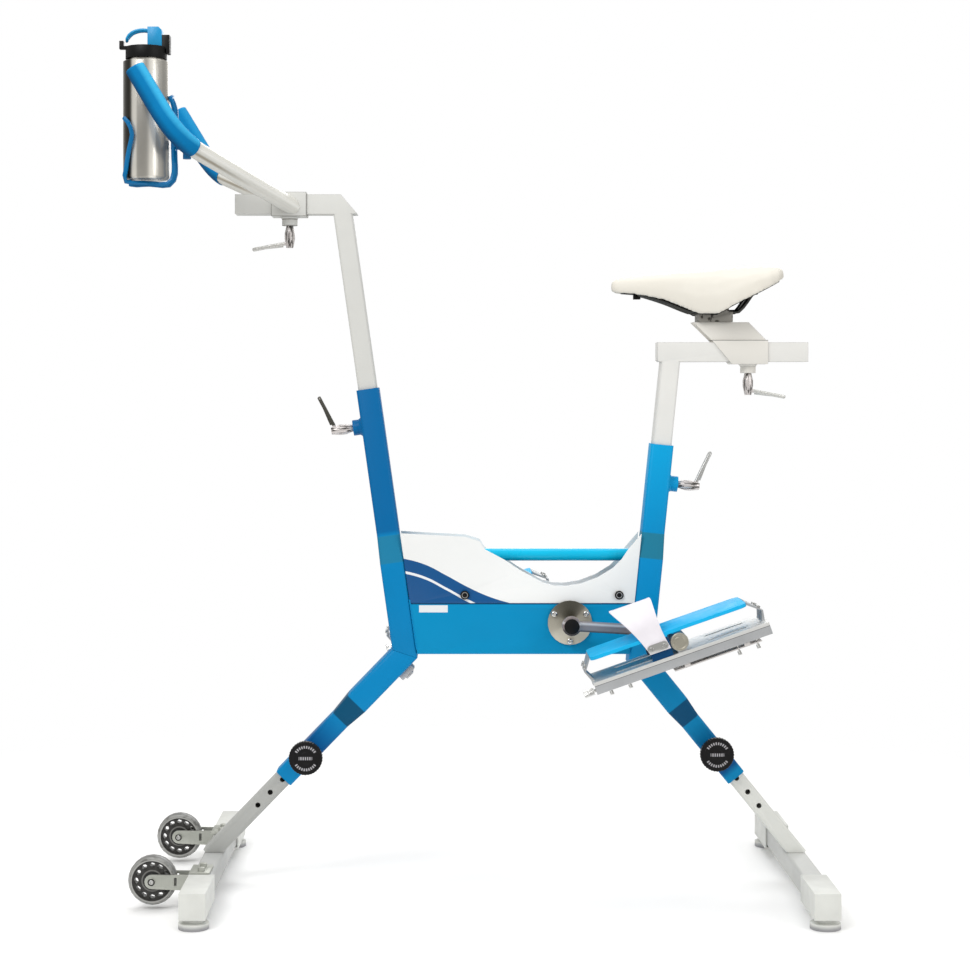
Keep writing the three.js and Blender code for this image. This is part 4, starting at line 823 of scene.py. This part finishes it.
def applied(obj):
    """Turns an object's modifiers into plain vertices."""
    depsgraph = bpy.context.evaluated_depsgraph_get()
    mesh = bpy.data.meshes.new_from_object(obj.evaluated_get(depsgraph))
    obj.modifiers.clear()
    obj.data = mesh
    for face in mesh.polygons:
        face.use_smooth = True


def swollen(obj):
    """Fills a soft form by a short cloth run, with no point moved further than the cap."""
    start = points_of(obj.data)
    cloth = obj.modifiers.new("cloth", "CLOTH")
    having(cloth.settings, **CLOTH).effector_weights.gravity = 0.0
    cloth.collision_settings.use_collision = False
    for moment in range(1, CLOTH_MOMENTS + 1):
        scene.frame_set(moment)
    applied(obj)
    moved = points_of(obj.data) - start
    far = np.maximum(np.linalg.norm(moved, axis=1), 1e-9)
    kept = start + moved * np.minimum(1.0, CLOTH_CAP * MM / far)[:, None]
    obj.data.vertices.foreach_set("co", kept.ravel())
    scene.frame_set(1)


pad = nodes["saddle_pad"]
mesh = pad.data.copy()
mesh.name = "saddle_cushion"
mesh.materials.clear()
mesh.materials.append(ready(saddle_look()))
cushion = placed(mesh.name, mesh)
cushion.matrix_world = pad.matrix_world.copy()
having(cushion.modifiers.new("remesh", "REMESH"), mode="VOXEL", voxel_size=CUSHION_VOXEL * MM)
having(cushion.modifiers.new("even", "SMOOTH"), factor=0.5, iterations=6)
applied(cushion)
swollen(cushion)
having(cushion.modifiers.new("finer", "SUBSURF"), levels=1, render_levels=1)
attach(cushion, "seat")
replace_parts(cushion, "saddle_pad")

# ---- Foam grips ----
GRIP_LENGTH, GRIP_STEPS, GRIP_INNER, GRIP_OUTER = 143, 70, 13.55, 14.85
GRIP_SWELL, GRIP_DENT, GRIP_DENTS = 0.25, 0.12, 46
# Radii of its lip at the inboard end and its dome at the other, and how far ahead they lie
GRIP_LIP = ((14.05, -0.5), (14.55, -0.2))
GRIP_DOME = ((14.75, 1.6), (13.85, 3.0), (12.35, 3.8), (9.95, 4.0), (0.45, 4.0))


def grip_path(side):
    """Points along the gripped part of a handlebar tube, from inboard to its end, in metres."""
    base, bend, end = (Vector(point) * MM for point in (BAR_BASE, BAR_BEND, BAR_END))
    reach = BAR_REACH * MM
    into = bend + (base - bend).normalized() * reach
    out = bend + (end - bend).normalized() * reach
    fine = [base.lerp(into, t) for t in np.linspace(0.5, 1, 100)[:-1]]
    fine += [into.lerp(bend, t).lerp(bend.lerp(out, t), t) for t in np.linspace(0, 1, 200)]
    fine += [out.lerp(end, t) for t in np.linspace(0, 1, 200)[1:]]
    grid = np.array(fine)
    travelled = np.append(0, np.cumsum(np.linalg.norm(np.diff(grid, axis=0), axis=1)))
    wanted = np.linspace(travelled[-1] - GRIP_LENGTH * MM, travelled[-1], GRIP_STEPS)
    points = np.stack([np.interp(wanted, travelled, grid[:, k]) for k in range(3)], axis=1)
    return [Vector((x, SIDES[side] * y, z)) for x, y, z in points]


def grip_shape(side):
    """Foam from its bore's open end back to its lip, out along it and round its dome."""
    line = stations(grip_path(side))
    rings = [hoop(station, GRIP_INNER * MM) for station in reversed(line)]
    rings += [hoop(line[0], *mm(*level)) for level in GRIP_LIP]
    for number, station in enumerate(line):
        share = number / (len(line) - 1)
        swell = GRIP_SWELL * math.sin(math.pi * share)
        dent = GRIP_DENT * max(0.0, math.sin(share * GRIP_DENTS)) ** 8
        rings.append(hoop(station, (GRIP_OUTER + swell - dent) * MM))
    return skin(rings + [hoop(line[-1], *mm(*level)) for level in GRIP_DOME])


for side in SIDES:
    grip = add(f"handle_grip_{side}", "handlebars", grip_foam, grip_shape(side))
    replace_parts(grip, f"grip_{side}")

# ---- Foot straps ----
# Heights of its foot, of its arch's base and top, and of the sections of its two straight legs
STRAP_FOOT, STRAP_SHOULDER, STRAP_TOP, STRAP_LEG = -6, 25, 68, (-4, 1, 6, 11, 16, 21)
STRAP_HALF, STRAP_BULGE, ARCH_STEPS, STRAP_THICK = 50.5, 4, 72, 2.4
FOOT_WIDTH, TOP_WIDTH, STRAP_MIDDLE, STRAP_FORWARD = 32, 64, -30, 19
# The strap's section, as shares of its half width and of its half thickness
STRAP_SECTION = [
    (-1, -0.25), (-0.985, -0.75), (-0.95, -1), (0.95, -1), (0.985, -0.75), (1, -0.25),
    (1, 0.35), (0.985, 0.85), (0.95, 1), (0.88, 1), (0.84, 0.7), (0.4, 0.72), (0, 0.72),
    (-0.4, 0.72), (-0.84, 0.7), (-0.88, 1), (-0.95, 1), (-0.985, 0.85), (-1, 0.35),
]


def pedal_place(side):
    """A pedal's axes: X back, Y across from the bike's middle plane, Z up from the spindle."""
    x, z = axle(f"{side}_pedal_spin")
    return Matrix.Translation((x, 0, z)) @ Matrix.Rotation(PEDAL_TILT, 4, "Y")


def strap_path():
    """The strap's way across a pedal and up, in mm: up one leg, over the arch, down again."""
    path = [Vector((-STRAP_HALF, up)) for up in STRAP_LEG]
    for step in range(ARCH_STEPS + 1):
        turn = math.pi * step / ARCH_STEPS
        lift = max(math.sin(turn), 0)
        path.append(Vector((-math.cos(turn) * (STRAP_HALF + STRAP_BULGE * lift),
                            STRAP_SHOULDER + (STRAP_TOP - STRAP_SHOULDER) * lift)))
    return path + [Vector((STRAP_HALF, up)) for up in reversed(STRAP_LEG)]


def strap_shape(side):
    """The strap over the foot, with rounded, slightly raised edges."""
    place, path = pedal_place(side), strap_path()
    across = SIDES[side] * PEDAL_MIDDLE
    rings = []
    for number, point in enumerate(path):
        ahead, behind = path[min(number + 1, len(path) - 1)], path[max(number - 1, 0)]
        normal = Vector((behind.y - ahead.y, ahead.x - behind.x)).normalized()
        lift = (point.y - STRAP_FOOT) / (STRAP_TOP - STRAP_FOOT)
        middle = STRAP_MIDDLE - STRAP_FORWARD * lift
        half = (FOOT_WIDTH + (TOP_WIDTH - FOOT_WIDTH) * lift ** 2) / 2
        ring = []
        for way, out in STRAP_SECTION:
            y, z = point + out * STRAP_THICK / 2 * normal
            ring.append(place @ (Vector((middle + way * half, across + y, z)) * MM))
        rings.append(ring)
    return skin(rings)


for side in SIDES:
    strap = add(f"foot_strap_{side}", f"{side}_pedal", strap_white,
                strap_shape(side))
    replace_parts(strap, f"pedal_strap_{side}")

# ---- Knobs of the spring pins ----
KNOB = [(0, 20), (3.8, 20), (3.8, 36), (9, 36), (11.4, 36.4), (12, 37.4), (12, 46.4),
        (24.6, 46.8), (25.6, 47.4), (26, 48.4), (26, 56.4), (25.4, 57.4), (24.2, 58), (20, 58),
        (19.4, 57.5), (9.4, 57.3), (8.6, 57.9), (0, 58)]
PINS = {"front": (-255.5108, 203.9731), "rear": (371.5652, 209.3889)}
for end, (x, z) in PINS.items():
    shape = turned(KNOB, aimed(mm(x, 0, z), (0, -1, 0)), 144, flutes=36, depth=0.9)
    knob = add(f"pin_knob_{end}", f"{end}_pin", knob_look(f"{end}_pin_knob"),
               shape)
    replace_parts(rounded(knob, 0.3, 3), f"{end}_pin_knob")

# ---- Trim of the pedals: u back, y out from the bike's middle, n up from the spindle ----
# The fin and its four tabs: size and centre, with y from the pedal's middle
FIN = [((134, 92, 1.8), (47, 0, -38.5))]
FIN += [((9, 3, 6.4), (u, y, -35.5)) for u in (0, 92) for y in (-46, 46)]
THUMB_SCREWS = ((-117, -31), (-88, -31), (78, -38), (107, -38))
THUMB_Y, SHANK_RADIUS, SHANK_TOP, SHANK_END, WING, WING_DROP = 191, 1.6, -17, 8, (5.6, 1.8, 6), 7.5
PEDAL_KNOB_SPOT = (-138, 196.5, -27)
PEDAL_KNOB = [(0, -12), (2.4, -12), (2.4, 3), (5.2, 3), (5.7, 3.8), (5.7, 17.4), (5.2, 18.2),
              (2.6, 18.4), (0, 18.4)]
# The strap's plate, straight with round ends about the places of its two screws
PLATE_ENDS, PLATE_N, PLATE_ROUND, PLATE_Y = (-42.1, -22.9), 3.2, 6.4, (202.8, 203.9)
PLATE_OUTLINE = [(u + PLATE_ROUND * math.cos(turn), PLATE_N + PLATE_ROUND * math.sin(turn))
                 for u, first in zip(reversed(PLATE_ENDS), (-90, 90))
                 for turn in map(math.radians, range(first, first + 181, 18))]
PLATE_HEAD, PLATE_HEAD_Y = (3.4, 0, 1.5, 0.8), 203.8
PLATE_SLOT, PLATE_SLOT_Y = (3.6, 0.5, 0.9), 205.4
BARREL_END = 200
BARREL_RING = [(6.6, -1), (13.1, -1), (13.1, 0.8), (12.4, 1.4), (10.2, 1.4), (9.6, 0.7),
               (7.6, 0.7), (7.2, 1.2), (6.6, 1.2)]
BARREL_CAP = [(0, -0.5), (7.1, -0.5), (7.1, 0.6), (6.3, 1.1), (3.4, 1.1), (3.2, 0.2), (0, 0.2)]
# The slanted ends of the brackets under the tread, with where they face
BRACKETS = ((126, (0.69, 0, 0.72)), (-141.1, (-0.838, 0, 0.546)))
NUT, NUT_N, NUT_Y = (4.2, -1, 3.2), 6, (169, 133)


def dress_pedal(side):
    """Fin, screws, knob, strap plate, barrel end and nuts of one pedal."""
    sign, body, place = SIDES[side], f"{side}_pedal", pedal_place(side)

    def at(u, y, n, axis=(0, sign, 0)):
        """A place on the pedal whose Z points along a direction in the pedal's axes."""
        return place @ aimed(Vector((u, sign * y, n)) * MM, axis)

    bars = [slab(place, size, (u, sign * PEDAL_MIDDLE + y, n)) for size, (u, y, n) in FIN]
    # The fin takes the alloy with painted light
    trim(f"pedal_fin_{side}", body, "aluminium", lit_fin_alloy, *bars)

    screws = []
    for u, n in THUMB_SCREWS:
        shank = at(u, THUMB_Y, n, (0, 0, -1))
        screws.append(stud(shank, SHANK_RADIUS, n - SHANK_TOP, SHANK_END))
        screws.append(slab(place, WING, (u, sign * THUMB_Y, n - WING_DROP)))
    trim(f"pedal_thumb_screws_{side}", body, "steel", bright, *screws, width=0.4)
    knob = turned(PEDAL_KNOB, at(*PEDAL_KNOB_SPOT, (-1, 0, 0)), 96, flutes=24, depth=0.7)
    trim(f"pedal_knob_{side}", body, "steel", bright, knob, width=0.15)

    rings = [[place @ (Vector((u, sign * y, n)) * MM) for u, n in PLATE_OUTLINE] for y in PLATE_Y]
    trim(f"strap_plate_{side}", body, "steel", bright, skin(rings), width=0.4)
    bolts = [stud(at(u, PLATE_HEAD_Y, PLATE_N), *PLATE_HEAD) for u in PLATE_ENDS]
    bolts += [slab(place, PLATE_SLOT, (u, sign * PLATE_SLOT_Y, PLATE_N)) for u in PLATE_ENDS]
    trim(f"strap_plate_screws_{side}", body, "steel", steel, *bolts)

    hub = at(0, BARREL_END, 0)
    trim(f"barrel_ring_{side}", body, "aluminium", barrel_metal, turned(BARREL_RING, hub, 56),
         width=0.15)
    trim(f"barrel_cap_{side}", body, "dark_metal", barrel_metal, turned(BARREL_CAP, hub, 40),
         width=0.15)
    nuts = [stud(at(u, y, NUT_N, axis), *NUT) for u, axis in BRACKETS for y in NUT_Y]
    trim(f"bracket_bolts_{side}", body, "steel", steel, *nuts)


for side in SIDES:
    dress_pedal(side)

# ---- Trim of the frame ----
ROSETTE = [(0, 32.6), (6.6, 32.6), (6.8, 33.0), (6.8, 33.8), (6.0, 34.6), (4.9, 34.6),
           (4.5, 33.6), (3.9, 33.6), (3.6, 34.3), (2.0, 34.3), (1.7, 33.2), (0, 33.2)]
ROSETTE_RING = [(3.5, 33.3), (4.7, 33.3), (4.7, 34.2), (3.5, 34.2)]
ROSETTES, ROSETTE_Z = {"front": -12.7705, "rear": 224.1437}, 450.3
for end, x in ROSETTES.items():
    for side, sign in SIDES.items():
        place = aimed(mm(x, 0, ROSETTE_Z), (0, sign, 0))
        trim(f"cover_rosette_{end}_{side}", "frame", "black_plastic", black,
             turned(ROSETTE, place, 40), width=0.12)
        trim(f"rosette_ring_{end}_{side}", "frame", "steel", steel,
             turned(ROSETTE_RING, place, 40, hollow=True), width=0.1)

FLANGE_X, FLANGE_FACE, FLANGE_Z, SCREW_CIRCLE = 148.5, 37.3, 408, 28
BUTTON = [(0, 0), (4.6, 0), (4.7, 0.8), (4.0, 2.2), (2.6, 2.8), (1.9, 2.8), (1.8, 1.2), (0, 1.2)]
for side, sign in SIDES.items():
    shapes = []
    for turn in map(math.radians, (30, 150, 270)):
        spot = mm(FLANGE_X + SCREW_CIRCLE * math.cos(turn), sign * FLANGE_FACE,
                  FLANGE_Z + SCREW_CIRCLE * math.sin(turn))
        shapes.append(turned(BUTTON, aimed(spot, (0, sign, 0)), 32))
    trim(f"bearing_screws_{side}", "frame", "steel", bright, *shapes, width=0.15)

# Weld beads at the posts: from and to along the post, and how far off its axis
SEAMS = {"front_post": (4, 81, 18.9), "rear_post": (10, 86, -18.9)}
SEAM_HALF = 29.6
BEAD_RADIUS, BEAD_STEP, BEAD_SIDES, RIPPLE, RIPPLE_TURN = 1.3, 1.2, 8, 0.14, 1.7


def on_tube(tube, along, off):
    """A point beside a tube's axis in the bike's middle plane, as X and Z in mm."""
    (x, z), (run, rise) = TUBES[tube]
    return x + run * along + rise * off, z + rise * along - run * off


def bead(points):
    """A weld bead with a slight ripple, along points in mm."""
    spots = [Vector(point) * MM for point in points]
    line = []
    for first, second in zip(spots, spots[1:]):
        count = max(2, int((second - first).length / (BEAD_STEP * MM)))
        line += [first.lerp(second, k / count) for k in range(count)]
    line.append(spots[-1])
    radii = [BEAD_RADIUS * (1 - RIPPLE + RIPPLE * math.cos(k * RIPPLE_TURN))
             for k in range(len(line))]
    return swept(line, mm(*radii), BEAD_SIDES)


for tube, (low, high, off) in SEAMS.items():
    (x0, z0), (x1, z1) = on_tube(tube, low, off), on_tube(tube, high, off)
    path = [(x0, -SEAM_HALF, z0), (x1, -SEAM_HALF, z1), (x1, SEAM_HALF, z1), (x0, SEAM_HALF, z0)]
    add(f"weld_{tube}", "frame", blue, bead(path))

BEAM_FOOT = aimed(mm(-105.5, 0, 332.3), (0.71837, 0, -0.69566))
FOOT_SLABS = (((30, 26, 10), (0, 0, 4.2)), ((26, 14, 5), (0, 0, 10)))   # size and centre
trim("beam_foot", "frame", "aluminium", alloy,
     *(slab(BEAM_FOOT, size, centre) for size, centre in FOOT_SLABS), width=1.6)

# ---- Plugs in the open ends of the handlebar stem and the seat beam ----
# Half width, half height and how far in from the tube's end
PLUG = [(16.6, 12.1, 4.0), (16.6, 12.1, 1.0), (16.1, 11.6, 0.4), (13.4, 8.9, 0.4),
        (12.6, 8.1, 1.4), (12.2, 7.7, 2.0)]
END_SPACE = 0.5   # how near the tube's end its points lie
for name, body, node_name, way in (("stem_plug", "handlebar_mast", "handlebar_post", -1),
                                   ("seat_beam_plug", "seat_mast", "seat_post", 1)):
    low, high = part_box(node_name)
    face = (low if way < 0 else high).x
    points = points_of(nodes[node_name].data)
    middle = points[np.abs(points[:, 0] - face) < END_SPACE * MM][:, 2].mean()
    rings = [[Vector((face - way * depth * MM, a * half_y * MM, middle + b * half_z * MM))
              for a, b in CORNERS] for half_y, half_z, depth in PLUG]
    trim(name, body, "white_paint", plug_white, skin(rings))

# ---- Grips on the clamp levers' arms ----
# Share of the way out along the arm, and radius there
ARM = [(0.0, 2.7), (0.2, 2.6), (0.45, 2.3), (0.7, 2.2), (0.84, 2.5), (0.95, 2.7), (0.985, 2.2),
       (1.0, 1.2)]
ARM_TIP_SPACE, ARM_TIP_REACH = 4, 1
ARM_ROOT_SHARE, ARM_START_SHARE = 0.45, 0.92
for lever, (body, _, grip_color, _) in LEVERS.items():
    points = points_of(nodes[lever].data)
    far = np.linalg.norm(points - np.array(joints[f"{lever}_turn"]["pos_m"]), axis=1)
    tip = Vector(points[far > far.max() - ARM_TIP_SPACE * MM].mean(axis=0))
    inner = far < far.max() * ARM_ROOT_SHARE
    root = tip.lerp(Vector(points[inner][np.argmax(far[inner])]), ARM_START_SHARE)
    end = tip + (tip - root).normalized() * ARM_TIP_REACH * MM
    line = [root.lerp(end, share) for share, _ in ARM]
    look = metal(f"{lever}_grip_steel", grip_color, 0.25, 0.4, metallic=0.3)
    add(f"{lever}_grip", body, look, swept(line, mm(*(radius for _, radius in ARM)), 20))

# ---- Axle bolts of the wheels ----
AXLE_COLLAR = [(3.6, -0.3), (5.4, -0.3), (5.4, 0.5), (4.9, 0.8), (3.6, 0.8)]
AXLE_BOLT = [(0, -0.3), (3.4, -0.3), (3.4, 1.0), (2.9, 1.3), (1.5, 1.3), (1.3, 0.5), (0, 0.5)]
AXLE_SPACE = 8   # how near the axle the fork's points are looked at
for side in SIDES:
    x, z = axle(f"{side}_wheel_spin")
    points = points_of(nodes[f"wheel_fork_{side}"].data)
    near = points[np.hypot(points[:, 0] - x, points[:, 2] - z) < AXLE_SPACE * MM]
    for end, way in (("near", -1), ("far", 1)):
        spot = aimed((x, way * (near[:, 1] * way).max(), z), (0, way, 0))
        trim(f"axle_collar_{end}_{side}", "front_leg", "dark_metal", dark_metal,
             turned(AXLE_COLLAR, spot, 36, hollow=True), width=0.12)
        trim(f"axle_bolt_{end}_{side}", "front_leg", "steel", steel,
             turned(AXLE_BOLT, spot, 32), width=0.12)

# ---- Floor, room, lights and camera, in metres ----
FLOOR = ((-8, -6, 0), (8, -6, 0), (8, 8, 0), (-8, 8, 0))
FLOOR_FADE = (0.75, 1.5)   # radii between which the floor fades out
floor_look = Look("floor_white", (250, 250, 250), 0.9, Specular_IOR_Level=0.1)
floor_look.set("Alpha", floor_look.fall(floor_look.radius((0, 0, 0), 2), *FLOOR_FADE))
floor_mesh = bpy.data.meshes.new("floor")
floor_mesh.from_pydata(FLOOR, [], [(0, 1, 2, 3)])
floor_mesh.materials.append(ready(floor_look))
placed("floor", floor_mesh)

# The camera sees pure white, and all other rays a dimmer, slightly warm room
ROOM_COLOR, ROOM_STRENGTH = (1.0, 0.99, 0.965, 1), 0.55
world = scene.world = bpy.data.worlds.new("white_room")
world.use_nodes = True
tree = world.node_tree
room, white = tree.nodes["Background"], tree.nodes.new("ShaderNodeBackground")
for shader, color, strength in ((room, ROOM_COLOR, ROOM_STRENGTH), (white, (1, 1, 1, 1), 1.0)):
    shader.inputs["Color"].default_value = color
    shader.inputs["Strength"].default_value = strength
ray = tree.nodes.new("ShaderNodeLightPath")
choice = tree.nodes.new("ShaderNodeMixShader")
sources = ray.outputs["Is Camera Ray"], room.outputs[0], white.outputs[0]
for output, socket in zip(sources, choice.inputs):
    tree.links.new(output, socket)
tree.links.new(choice.outputs[0], tree.nodes["World Output"].inputs["Surface"])

# Place, aim, watts, width and height of each lamp
LAMPS = {
    "key": ((-1.6, -2.6, 3.0), (0, 0, 0.6), 70, 1.8, 1.8),
    "fill": ((2.6, -2.2, 1.6), (0, 0, 0.5), 28, 1.6, 2.2),
    "top": ((0.0, 0.4, 3.2), (0, 0, 0), 40, 3.0, 2.0),
    "back": ((0.6, 3.0, 2.0), (0, 0, 0.6), 30, 2.4, 1.6),
}
for name, (place, aim, watts, wide, tall) in LAMPS.items():
    data = bpy.data.lights.new(name, "AREA")
    lamp = placed(name, having(data, energy=watts, shape="RECTANGLE", size=wide, size_y=tall))
    turn = (Vector(aim) - Vector(place)).to_track_quat("-Z", "Y").to_euler()
    having(lamp, location=place, rotation_euler=turn)

# Fitted to the photo: a level view along +Y from the bike's left
CAMERA = {"sensor_width": 36, "lens": 76.67, "shift_x": 0.03605, "shift_y": -0.09938}
CAMERA_PLACE = (-0.0355, -3.205, 0.7665)
camera = placed("camera", having(bpy.data.cameras.new("camera"), **CAMERA))
scene.camera = having(camera, location=CAMERA_PLACE, rotation_euler=(math.pi / 2, 0, 0))
scene.view_settings.view_transform = "Standard"
